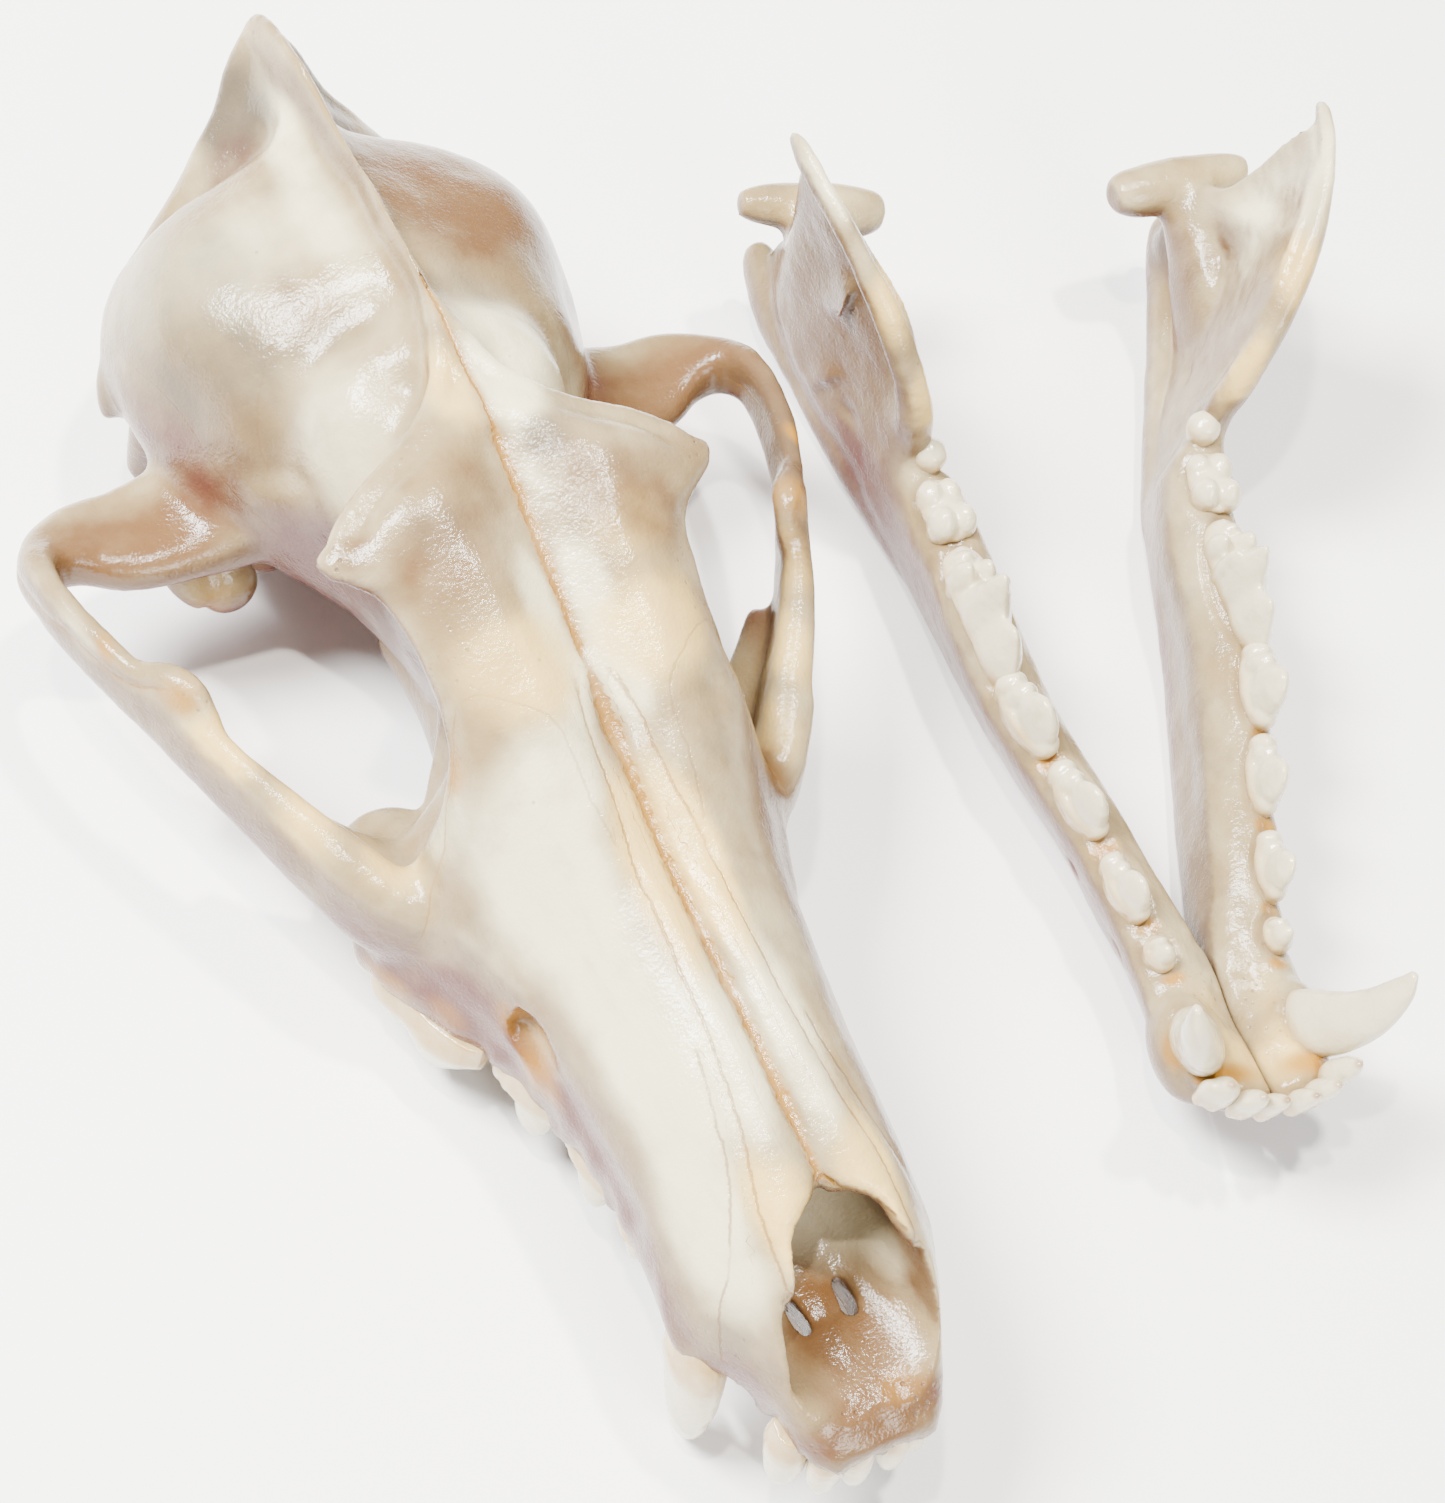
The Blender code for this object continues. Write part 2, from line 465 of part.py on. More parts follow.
def add_peg(bm, peg, side, up, grow):
    """A tooth with one point: incisor or premolar."""
    _, centre, length, width, height, tip, turn = peg
    along, across = row_axes(turn, side)
    rise = Vector((0, 0, up))
    levels = [(-PEG_ROOT - grow, PEG_ROOT_WIDTH, 0.0)]
    levels += [(part * (height + grow), share, lean) for part, share, lean in PEG_CROWN]
    rings = []
    for level, share, lean in levels:
        middle = sided(centre, side) + rise * level + (along * tip[0] + across * tip[1]) * lean
        rings.append([
            middle
            + along * math.cos(2 * math.pi * step / TOOTH_SIDES) * (length / 2 * share + grow)
            + across * math.sin(2 * math.pi * step / TOOTH_SIDES) * (width / 2 * share + grow)
            for step in range(TOOTH_SIDES)
        ])
    add_loft(bm, rings)


def add_grinder(bm, grinder, side, up, grow):
    """A low molar with a broad top."""
    _, centre, length, width, height, turn = grinder
    along, across = row_axes(turn, side)
    rise = Vector((0, 0, up))
    levels = [(-GRINDER_ROOT - grow, GRINDER_ROOT_WIDTH)]
    levels += [(part * (height + grow), share) for part, share in GRINDER_CROWN]
    rings = []
    for level, share in levels:
        middle = sided(centre, side) + rise * level
        rings.append([
            middle
            + along * math.cos(2 * math.pi * step / TOOTH_SIDES) * (length / 2 * share + grow)
            + across * math.sin(2 * math.pi * step / TOOTH_SIDES) * (width / 2 * share + grow)
            for step in range(TOOTH_SIDES)
        ])
    add_loft(bm, rings)


def add_blade(bm, blade, side, up, grow):
    """A cutting cheek tooth, drawn as sections along its length."""
    _, centre, length, turn, stations = blade
    along, across = row_axes(turn, side)
    rise = Vector((0, 0, up))
    rings = []
    for index, (share, half, height) in enumerate(stations):
        ends = (index == len(stations) - 1) - (index == 0)
        middle = sided(centre, side) + along * (share * length + grow * ends)
        half += grow
        outline = [(-BLADE_ROOT_WIDTH * half, -BLADE_ROOT - grow)]
        outline += [(wide * half, part * (height + grow)) for wide, part in BLADE_CROWN]
        outline.append((BLADE_ROOT_WIDTH * half, -BLADE_ROOT - grow))
        rings.append([middle + across * sidewise + rise * level for sidewise, level in outline])
    add_loft(bm, rings)


def add_canine(bm, run, side, grow):
    """A canine, curved along its run."""
    places = [sided(item[:3], side) for item in run]
    rings = []
    for index, item in enumerate(run):
        ends = (index == len(run) - 1) - (index == 0)
        along = (places[min(index + 1, len(run) - 1)] - places[max(index - 1, 0)]).normalized()
        lengthwise = (Vector((0, 1, 0)) - along * along.y).normalized()
        sidewise = along.cross(lengthwise)
        rings.append([
            places[index] + along * grow * ends
            + sidewise * math.cos(2 * math.pi * step / TOOTH_SIDES) * (item[3] + grow)
            + lengthwise * math.sin(2 * math.pi * step / TOOTH_SIDES) * (item[4] + grow)
            for step in range(TOOTH_SIDES)
        ])
    add_loft(bm, rings)


def tooth_makers(pegs, grinders, blade, canine, up):
    """Every tooth of one side as a name and a function that draws it."""
    makers = []
    for peg in pegs:
        makers.append((peg[0], lambda bm, side, grow, peg=peg: add_peg(bm, peg, side, up, grow)))
    for grinder in grinders:
        makers.append((grinder[0], lambda bm, side, grow, item=grinder: add_grinder(bm, item, side, up, grow)))
    makers.append((blade[0], lambda bm, side, grow: add_blade(bm, blade, side, up, grow)))
    makers.append(("canine", lambda bm, side, grow: add_canine(bm, canine, side, grow)))
    return makers


def build_teeth(makers, jaw, side, side_name, collection, sockets, material):
    """The teeth of one side and the cutters for their sockets."""
    teeth = []
    cutters = []
    for name, draw in makers:
        bm = bmesh.new()
        draw(bm, side, 0.0)
        teeth.append(to_object(bm, f"{jaw}_{name}_{side_name}", collection, material))
        bm = bmesh.new()
        draw(bm, side, SOCKET_GAP)
        cutters.append(as_cutter(to_object(bm, f"socket_{jaw}_{name}_{side_name}", sockets)))
    return teeth, cutters


def make_frame(name, location, rotation, parent):
    """An empty that carries one bone and its teeth."""
    empty = bpy.data.objects.new(name, None)
    bpy.context.scene.collection.objects.link(empty)
    empty.location = location * MM
    empty.rotation_euler = rotation
    empty.parent = parent
    return empty


def centre_on_origin(frame, items):
    """Move the whole object so that the middle of its underside is the origin."""
    bpy.context.view_layer.update()
    depsgraph = bpy.context.evaluated_depsgraph_get()
    corners = []
    for item in items:
        evaluated = item.evaluated_get(depsgraph)
        corners += [evaluated.matrix_world @ vertex.co for vertex in evaluated.data.vertices]
    low = [min(corner[axis] for corner in corners) for axis in range(3)]
    high = [max(corner[axis] for corner in corners) for axis in range(3)]
    frame.location = (-(low[0] + high[0]) / 2, -(low[1] + high[1]) / 2, -low[2])


def main():
    """Build the skull."""
    remove_everything()
    parts = make_collection(OBJECT_NAME)
    hollows = make_collection("hollow_cutters")
    bone = make_material("bone", BONE_COLOUR, 0.35)
    enamel = make_material("enamel", ENAMEL_COLOUR, 0.25)
    whole = make_frame("skull_frame", Vector((0, 0, 0)), Euler((0, 0, 0)), None)
    lift = Vector((0, 0, CRANIUM_LIFT))
    cranium_frame = make_frame("cranium_frame", lift, Euler((CRANIUM_PITCH, 0, 0)), whole)
    jaw_frame = make_frame("jaw_frame", JAW_PLACE, Euler((0, 0, JAW_YAW)), whole)
    upper = tooth_makers(UPPER_PEGS, UPPER_GRINDERS, UPPER_BLADE, UPPER_CANINE, -1)
    lower = tooth_makers(LOWER_PEGS, LOWER_GRINDERS, LOWER_BLADE, LOWER_CANINE, 1)

    cranium = build_cranium_body(parts, bone)
    build_cranium_hollows(hollows)
    fuse(cranium, CRANIUM_VOXEL)
    cut(cranium, hollows)
    fuse(cranium, CRANIUM_VOXEL)
    smooth_and_thin(cranium, CRANIUM_FACES_KEPT)
    upper_sockets = make_collection("upper_sockets")
    made = [cranium]
    carried = [cranium, *hollows.objects]
    for side, side_name in ((1, "left"), (-1, "right")):
        teeth, cutters = build_teeth(upper, "upper", side, side_name, parts, upper_sockets, enamel)
        made += teeth
        carried += teeth + cutters
    cut(cranium, upper_sockets)
    for item in carried:
        item.parent = cranium_frame

    for side, side_name in ((1, "left"), (-1, "right")):
        dentary = build_dentary_body(side, f"lower_jaw_{side_name}", parts, bone)
        fuse(dentary, JAW_VOXEL)
        smooth_and_thin(dentary, JAW_FACES_KEPT)
        sockets = make_collection(f"lower_sockets_{side_name}")
        teeth, cutters = build_teeth(lower, "lower", side, side_name, parts, sockets, enamel)
        cut(dentary, sockets)
        made += [dentary, *teeth]
        for item in (dentary, *teeth, *cutters):
            item.parent = jaw_frame
    centre_on_origin(whole, made)


main()
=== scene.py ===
"""A coyote skull in fine detail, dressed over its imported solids.

Cranium and lower jaw are drawn in their own frames in millimetres: x towards the animal's left, y
backwards from the snout, z up from the tooth sockets' rim (cranium) or from the surface it lies on
(jaw). The left side is drawn and mirrored. Each bone's place comes from its solid's box. Tables are
written as text: blanks part the numbers of a row, commas part the rows.
"""
from __future__ import annotations

import logging
import math
from dataclasses import dataclass
from enum import Enum
from typing import Callable, Iterable, Sequence

import bmesh
import bpy
import numpy as np
from mathutils import Euler, Matrix, Vector


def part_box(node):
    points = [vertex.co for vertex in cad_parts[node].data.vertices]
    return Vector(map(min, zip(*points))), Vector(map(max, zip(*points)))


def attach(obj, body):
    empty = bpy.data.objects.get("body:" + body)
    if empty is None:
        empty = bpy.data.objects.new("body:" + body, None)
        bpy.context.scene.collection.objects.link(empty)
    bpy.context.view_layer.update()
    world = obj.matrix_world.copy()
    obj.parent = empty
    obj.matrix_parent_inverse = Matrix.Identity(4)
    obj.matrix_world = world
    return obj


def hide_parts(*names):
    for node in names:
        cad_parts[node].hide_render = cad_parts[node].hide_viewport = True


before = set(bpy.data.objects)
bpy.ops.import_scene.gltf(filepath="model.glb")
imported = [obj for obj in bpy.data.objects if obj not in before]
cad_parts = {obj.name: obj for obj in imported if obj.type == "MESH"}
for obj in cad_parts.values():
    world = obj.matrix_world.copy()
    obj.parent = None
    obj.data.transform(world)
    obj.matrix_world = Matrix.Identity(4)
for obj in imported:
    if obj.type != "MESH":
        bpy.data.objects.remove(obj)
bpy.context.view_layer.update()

MM = 0.001
log = logging.getLogger("skull")

Row = Sequence[float]
# share of the way to its neighbours' mean that a point goes in one pass of smoothing
SMOOTHING = 0.5
# millimetres: how far a seam and a stroke are felt, and the distance given to points beyond
SEAM_REACH = 5.0
STROKE_REACH = 12.0
FAR = 1e3
# sockets of the node that mixes two colours
MIX_SHARE, MIX_FIRST, MIX_SECOND, MIX_RESULT = 0, 6, 7, 2


class Side(Enum):
    """The animal's left or right."""

    LEFT = 1
    RIGHT = -1

    @property
    def word(self) -> str:
        """The side as it stands in a node's name."""
        return self.name.lower()


def table(text: str) -> np.ndarray:
    """Rows of numbers from a table in text."""
    return np.array([row.split() for row in text.split(",")], float)


def each(rows: str, rest: str) -> str:
    """A table whose rows all end with the same numbers."""
    return ", ".join(f"{row} {rest}" for row in rows.split(","))


def smooth_curve(points: np.ndarray, fineness: int, closed: bool = False) -> np.ndarray:
    """A smooth curve through rows of numbers.

    Args:
        points: One row for each point passed through.
        fineness: Steps between two points.
        closed: Whether the last point joins the first.

    Returns:
        The finer rows.
    """
    if closed:
        before, start, end, after = (np.roll(points, shift, axis=0) for shift in (1, 0, -1, -2))
    else:
        padded = np.vstack([2 * points[:1] - points[1:2], points, 2 * points[-1:] - points[-2:-1]])
        before, start, end, after = padded[:-3], padded[1:-2], padded[2:-1], padded[3:]
    before, start, end, after = (rows[:, None, :] for rows in (before, start, end, after))
    t = (np.arange(fineness) / fineness)[None, :, None]
    fine = 0.5 * (2 * start + (end - before) * t + (2 * before - 5 * start + 4 * end - after) * t ** 2
                  + (3 * start - before - 3 * end + after) * t ** 3)
    fine = fine.reshape(-1, points.shape[1])
    return fine if closed else np.vstack([fine, points[-1:]])


def even_ring(points: np.ndarray, count: int) -> np.ndarray:
    """A closed smooth outline cut into equal lengths.

    Args:
        points: Corners of the outline, from its start.
        count: Number of points wanted.

    Returns:
        The evenly spaced points.
    """
    fine = smooth_curve(points, 12, closed=True)
    fine = np.vstack([fine, fine[:1]])
    lengths = np.concatenate([[0.0], np.cumsum(np.linalg.norm(np.diff(fine, axis=0), axis=1))])
    wanted = lengths[-1] * np.arange(count) / count
    return np.column_stack([np.interp(wanted, lengths, fine[:, axis]) for axis in range(fine.shape[1])])


def add_loft(bm: bmesh.types.BMesh, rings: np.ndarray) -> None:
    """Add a closed body through rings of equal count.

    Args:
        bm: Receives the body.
        rings: Array of ring, point, coordinate.
    """
    wrapped = np.concatenate([rings, rings[:, :1]], axis=1)
    rows, columns = wrapped.shape[:2]
    verts = bmesh.ops.create_grid(bm, x_segments=columns - 1, y_segments=rows - 1, size=1.0)["verts"]
    for vert, point in zip(verts, wrapped.reshape(-1, 3)):
        vert.co = point
    seam = [verts[row * columns + column] for row in range(rows) for column in (0, columns - 1)]
    bmesh.ops.remove_doubles(bm, verts=seam, dist=1e-5)
    made = {vert for vert in verts if vert.is_valid}
    rims = list({edge for vert in made for edge in vert.link_edges if edge.is_boundary})
    bmesh.ops.holes_fill(bm, edges=rims)
    bmesh.ops.recalc_face_normals(bm, faces=list({face for vert in made for face in vert.link_faces}))


def add_stations(bm: bmesh.types.BMesh, rings: Iterable[np.ndarray]) -> None:
    """Add a closed body through a few cross-sections, smoothed between them."""
    rough = np.array(list(rings))
    fine = smooth_curve(rough.reshape(len(rough), -1), 4)
    add_loft(bm, fine.reshape(len(fine), -1, 3))


def add_limb(bm: bmesh.types.BMesh, run: str, side: Side = Side.LEFT, sides: int = 20, fineness: int = 5,
             square: float = 2.0) -> None:
    """Add a rounded limb.

    Args:
        bm: Receives the limb.
        run: Table of x, y, z, half thickness and half depth along the limb.
        side: The side it is on.
        sides: Points round the limb.
        fineness: Steps between two rows.
        square: Shape of its section: 2 is an ellipse, more is flatter with rounded corners.
    """
    thinnest, steep = 0.15, 0.8
    rows = smooth_curve(table(run) * (side.value, 1, 1, 1, 1), fineness)
    centres, halves = rows[:, :3], np.maximum(rows[:, 3:5], thinnest)
    along = np.gradient(centres, axis=0)
    along /= np.linalg.norm(along, axis=1, keepdims=True)
    whole = centres[-1] - centres[0]
    upright = abs(whole[2]) > steep * np.linalg.norm(whole)
    reference = np.array([0.0, 1.0, 0.0] if upright else [0.0, 0.0, 1.0])
    across = np.cross(along, reference)
    across /= np.linalg.norm(across, axis=1, keepdims=True)
    upward = np.cross(across, along)
    turns = 2 * math.pi * np.arange(sides) / sides
    cosine, sine = (np.sign(part) * np.abs(part) ** (2 / square)
                    for part in (np.cos(turns), np.sin(turns)))
    rings = (centres[:, None] + across[:, None] * (cosine[None, :] * halves[:, :1])[..., None]
             + upward[:, None] * (sine[None, :] * halves[:, 1:])[..., None])
    add_loft(bm, rings)


def add_lump(bm: bmesh.types.BMesh, numbers: Row, side: Side = Side.LEFT) -> None:
    """Add a rounded lump, given its centre and three radii."""
    x, y, z, *radii = numbers
    place = Matrix.Translation((x * side.value, y, z))
    bmesh.ops.create_uvsphere(bm, u_segments=32, v_segments=20, radius=1.0,
                              matrix=place @ Matrix.Diagonal((*radii, 1.0)))


def as_mesh(bm: bmesh.types.BMesh, name: str) -> bpy.types.Mesh:
    """Write a body as a mesh and let it go."""
    mesh = bpy.data.meshes.new(name)
    bm.to_mesh(mesh)
    bm.free()
    return mesh


def limb(run: str, side: Side = Side.LEFT, **shape: float) -> bpy.types.Mesh:
    """One limb as a body of its own; the shape is passed on to add_limb."""
    bm = bmesh.new()
    add_limb(bm, run, side, **shape)
    return as_mesh(bm, "limb")


def lump(numbers: Row, side: Side = Side.LEFT) -> bpy.types.Mesh:
    """One lump as a body of its own."""
    bm = bmesh.new()
    add_lump(bm, numbers, side)
    return as_mesh(bm, "lump")


def frame_at(turn: Row, offset: Vector) -> Matrix:
    """A bone's own frame in millimetres, turned by Euler angles and moved by an offset in metres."""
    return Matrix.Translation(offset) @ Euler(turn).to_matrix().to_4x4() @ Matrix.Scale(MM, 4)


def treated(mesh: bpy.types.Mesh, steps: Sequence[tuple[str, dict]],
            cutters: Sequence[bpy.types.Mesh] = ()) -> bpy.types.Mesh:
    """Run modifiers over a body and take other bodies out of it.

    Args:
        mesh: The body, which is used up.
        steps: Modifier types with their settings; a step named BOOLEAN is made once for each cutter.
        cutters: Bodies to take out, which are used up.

    Returns:
        The treated body.
    """
    scene = bpy.context.scene
    item, *knives = [bpy.data.objects.new("draft", body) for body in (mesh, *cutters)]
    for thing in (item, *knives):
        scene.collection.objects.link(thing)
    for kind, settings in steps:
        for knife in (knives if kind == "BOOLEAN" else [None]):
            modifier = item.modifiers.new(kind.lower(), kind)
            for name, value in settings.items():
                setattr(modifier, name, value)
            if knife:
                modifier.operation = "DIFFERENCE"
                modifier.solver = "EXACT"
                modifier.object = knife
    bpy.context.view_layer.update()
    done = bpy.data.meshes.new_from_object(item.evaluated_get(bpy.context.evaluated_depsgraph_get()))
    for thing in (item, *knives):
        body = thing.data
        bpy.data.objects.remove(thing, do_unlink=True)
        bpy.data.meshes.remove(body)
    return done


def lattice_noise(points: np.ndarray, size: float, seed: int) -> np.ndarray:
    """Smooth noise between -1 and 1.

    Args:
        points: Where it is read, in millimetres.
        size: Size of one blotch in millimetres.
        seed: Chooses the pattern.

    Returns:
        One value for each point.
    """
    cells = 32
    grid = np.random.default_rng(seed).uniform(-1.0, 1.0, (cells,) * 3)
    scaled = points / size + 100.0
    cell = np.floor(scaled).astype(int)
    part = scaled - cell
    part = part * part * (3 - 2 * part)
    total = np.zeros(len(points))
    for corner in np.ndindex(2, 2, 2):
        weight = np.prod(np.where(corner, part, 1 - part), axis=1)
        total += weight * grid[tuple(((cell + corner) % cells).T)]
    return total


def fade(values: np.ndarray, low: float, high: float) -> np.ndarray:
    """A smooth step from 0 at low to 1 at high; low may be the larger."""
    share = np.clip((values - low) / (high - low), 0.0, 1.0)
    return share * share * (3 - 2 * share)


class Tint(Enum):
    """What a patch of bone can turn to; the tints serve as stains and also as painted light and shade."""

    TAN = "tan"
    GREY = "grey"
    AMBER = "amber"
    # rose is painted shade with rosy painted bounce light
    ROSE = "rose"
    PALE = "pale"
    IVORY = "ivory"
    PORES = "pores"


# painted shade, tan, and rosy painted bounce light on the surfaces turned aside or down: strength, the
# normal's height where it starts and is full
PAINTED_SHADE_ASIDE_AND_BELOW = ((Tint.TAN, 0.7, 0.55, -0.1), (Tint.ROSE, 0.8, 0.15, -0.45))


@dataclass(frozen=True)
class Stroke:
    """A ridge, or a furrow where the amount is negative, along a line; reach is its half width."""

    line: str
    amount: float
    reach: float


@dataclass(frozen=True)
class Dab:
    """A soft swelling, or a dent where the amount is negative."""

    centre: Row
    radii: Row
    amount: float


@dataclass(frozen=True)
class Stain:
    """A soft patch of one tint, for a stain and also for painted light and shade, on one side or, with
    side 0, on both.
    """

    tint: Tint
    centre: Row
    radii: Row
    strength: float
    side: float = 0.0


@dataclass(frozen=True)
class Seam:
    """A seam between two grown-together bones: line, depth, how amber it is, how plainly it shows."""

    line: str
    depth: float = 0.25
    amber: float = 0.2
    shown: float = 0.7


def dabs(text: str) -> list[Dab]:
    """Dabs from a table of centre, radii and amount."""
    return [Dab(row[:3], row[3:6], row[6]) for row in table(text)]


def read_stains(*lines: str) -> tuple[Stain, ...]:
    """Stains and painted light and shade from rows of tint, centre, radii, strength and, if it is on one
    side only, that side.
    """
    made = []
    for row in ",".join(lines).split(","):
        word, *numbers = row.split()
        numbers = [float(number) for number in numbers]
        made.append(Stain(Tint(word), numbers[:3], numbers[3:6], *numbers[6:]))
    return tuple(made)


class Skin:
    """A fine closed skin whose points are worked on as arrays, in millimetres of a bone's own frame."""

    def __init__(self, mesh: bpy.types.Mesh) -> None:
        """Read the skin from a mesh, which it keeps."""
        self.mesh = mesh
        self.values: dict[str, np.ndarray] = {}
        mesh.calc_loop_triangles()
        self.points = self.numbers(mesh.vertices, "co", 3, np.float32).astype(float)
        self.edges = self.numbers(mesh.edges, "vertices", 2, np.int32)
        self.triangles = self.numbers(mesh.loop_triangles, "vertices", 3, np.int32)
        self.degree = np.maximum(np.bincount(self.edges.ravel(), minlength=len(self.points)), 1)[:, None]
        self.settle()

    @classmethod
    def remeshed(cls, mesh: bpy.types.Mesh, voxel: float, passes: int) -> Skin:
        """A skin of even size over overlapping bodies, smoothed in so many passes."""
        return cls(treated(mesh, [("REMESH", {"mode": "VOXEL", "voxel_size": voxel}),
                                  ("SMOOTH", {"factor": SMOOTHING, "iterations": passes})]))

    @staticmethod
    def numbers(items: bpy.types.bpy_prop_collection, name: str, width: int, kind: type) -> np.ndarray:
        """One property of many items as rows."""
        rows = np.empty(len(items) * width, kind)
        items.foreach_get(name, rows)
        return rows.reshape(-1, width)

    def settle(self) -> None:
        """Work the normals out again."""
        first, second, third = (self.points[corner] for corner in self.triangles.T)
        facing = np.cross(second - first, third - first)
        normals = np.column_stack([
            sum(np.bincount(corner, facing[:, axis], len(self.points)) for corner in self.triangles.T)
            for axis in range(3)])
        self.normals = normals / np.maximum(np.linalg.norm(normals, axis=1, keepdims=True), 1e-12)

    @property
    def folded(self) -> np.ndarray:
        """The points with the right side laid onto the left one."""
        return self.points * self.flip

    @property
    def flip(self) -> np.ndarray:
        """What lays each point or normal onto the left side."""
        return np.where(self.points[:, :1] < 0, (-1.0, 1.0, 1.0), 1.0)

    def neighbours(self, values: np.ndarray) -> np.ndarray:
        """The mean of each point's neighbours, for rows of values."""
        start, end = self.edges.T
        total = np.column_stack([
            np.bincount(start, values[end, axis], len(self.points))
            + np.bincount(end, values[start, axis], len(self.points)) for axis in range(values.shape[1])])
        return total / self.degree

    def push(self, amount: np.ndarray) -> None:
        """Move each point along its normal by an amount in millimetres."""
        self.points = self.points + self.normals * amount[:, None]
        self.settle()

    def relax(self, weight: np.ndarray, passes: int) -> None:
        """Smooth the skin where the weight is above 0."""
        for _ in range(passes):
            self.points += (self.neighbours(self.points) - self.points) * weight[:, None]
        self.settle()

    def blob(self, centre: Row, radii: Row) -> np.ndarray:
        """A soft patch on both sides: 1 in its centre, fading to 0 by about twice its radii."""
        return np.exp(-(((self.folded - np.array(centre)) / np.array(radii)) ** 2).sum(axis=1))

    def blobs(self, text: str) -> np.ndarray:
        """Soft patches from a table of centre and radii, together at most 1."""
        return np.clip(sum(self.blob(row[:3], row[3:]) for row in table(text)), 0, 1)

    def line_offset(self, line: str, reach: float) -> tuple[np.ndarray, np.ndarray]:
        """How far each folded point is from a smooth line.

        Args:
            line: Table of the line's points.
            reach: Points farther than this from the line's box are left out.

        Returns:
            The distance, and the signed one within the surface from the line and its straight extension.
        """
        path = smooth_curve(table(line), 5)
        points = self.folded
        near = np.all((points > path.min(axis=0) - reach) & (points < path.max(axis=0) + reach), axis=1)
        points, normals = points[near], (self.normals * self.flip)[near]
        best, aside = np.full((2, len(points)), math.inf)
        last = len(path) - 2
        for index, (start, end) in enumerate(zip(path, path[1:])):
            step = end - start
            share = ((points - start) @ step) / (step @ step)
            inside = np.clip(share, 0.0, 1.0)
            open_share = np.clip(share, -math.inf if index == 0 else 0.0,
                                 math.inf if index == last else 1.0)
            distance = np.linalg.norm(points - start - inside[:, None] * step, axis=1)
            across = np.cross(step / np.linalg.norm(step), normals)
            across /= np.maximum(np.linalg.norm(across, axis=1, keepdims=True), 1e-9)
            offset = ((points - start - open_share[:, None] * step) * across).sum(axis=1)
            closer = distance < best
            best = np.where(closer, distance, best)
            aside = np.where(closer, offset, aside)
        distances, offsets = np.full((2, len(self.points)), FAR)
        distances[near] = best
        offsets[near] = aside
        return distances, offsets

    def carve(self, marks: Iterable[Stroke | Dab]) -> None:
        """Press strokes and dabs into the skin, or raise them."""
        amount = np.zeros(len(self.points))
        for mark in marks:
            if isinstance(mark, Dab):
                amount += mark.amount * self.blob(mark.centre, mark.radii)
            else:
                distance, _ = self.line_offset(mark.line, STROKE_REACH)
                amount += mark.amount * np.exp(-(distance / mark.reach) ** 2)
        self.push(amount)

    def roughen(self, layers: str, seed: int, weight: np.ndarray | float = 1.0) -> None:
        """Push the skin in and out unevenly.

        Args:
            layers: Table of blotch sizes and heights in millimetres.
            seed: Chooses the pattern.
            weight: Share of the height for each point.
        """
        amount = sum(height * lattice_noise(self.points, size, seed + index)
                     for index, (size, height) in enumerate(table(layers)))
        self.push(amount * weight)

    def sew(self, seams: Iterable[Seam], share: float = 1.0) -> None:
        """Press seams in by a share of their depth and keep the offset from the nearest one."""
        width = 0.7
        best, second = np.full((2, len(self.points)), FAR)
        offsets = np.full(len(self.points), SEAM_REACH)
        amber, depth, shown = np.zeros((3, len(self.points)))
        for seam in seams:
            distance, offset = self.line_offset(seam.line, SEAM_REACH)
            closer = distance < best
            second = np.where(closer, best, np.minimum(second, distance))
            for kept, new in ((best, distance), (offsets, np.clip(offset, -SEAM_REACH, SEAM_REACH)),
                              (amber, seam.amber), (depth, seam.depth * share), (shown, seam.shown)):
                np.copyto(kept, new, where=closer)
        near = fade(best, 4.0, 2.2) * shown * fade(second - best, 0.2, 1.2)
        offsets *= self.flip[:, 0]
        self.push(-depth * near * np.exp(-(offsets / width) ** 2))
        self.values |= {"seam_offset": offsets, "seam_near": near, "seam_amber": amber * near}

    def paint(self, stains: Iterable[Stain]) -> None:
        """Add up the stains and the painted light and shade of each tint, then the painted shade on
        surfaces turned aside or down.
        """
        for tint in Tint:
            self.values.setdefault(tint.value, np.zeros(len(self.points)))
        outer, inner, overlap = 1.5, 0.4, 1.5
        for tinting in stains:
            away = np.linalg.norm((self.folded - tinting.centre) / tinting.radii, axis=1)
            patch = tinting.strength * fade(away, outer, inner)
            if tinting.side:
                patch = patch * fade(self.points[:, 0] * tinting.side, -overlap, overlap)
            self.tint(tinting.tint, patch)
        # painted shade and rosy painted bounce light on the surfaces turned aside or down
        for tint, strength, start, full in PAINTED_SHADE_ASIDE_AND_BELOW:
            self.tint(tint, strength * fade(self.normals[:, 2], start, full))

    def tint(self, tint: Tint, share: np.ndarray) -> None:
        """Lay more of a tint over what there is of it."""
        kept = self.values[tint.value]
        self.values[tint.value] = 1 - (1 - kept) * (1 - np.clip(share, 0, 1))

    def find_hollows(self) -> None:
        """Keep for the finish how hollow the skin is at each point."""
        passes, slight, plain = 4, 0.004, 0.05
        bend = ((self.neighbours(self.points) - self.points) * self.normals).sum(axis=1)[:, None]
        for _ in range(passes):
            bend = self.neighbours(bend)
        self.values["hollow"] = fade(bend[:, 0], slight, plain)

    def thinned(self, triangles: int) -> Skin:
        """The same skin with at most so many triangles, without its values."""
        self.store(Matrix.Identity(4))
        share = min(1.0, triangles / len(self.triangles))
        return Skin(treated(self.mesh, [("DECIMATE", {"ratio": share})]))

    def store(self, matrix: Matrix) -> None:
        """Write the points, turned into another frame, to the mesh."""
        turned = self.points @ np.array(matrix.to_3x3()).T + np.array(matrix.translation)
        self.mesh.vertices.foreach_set("co", turned.astype(np.float32).ravel())
        self.mesh.update()

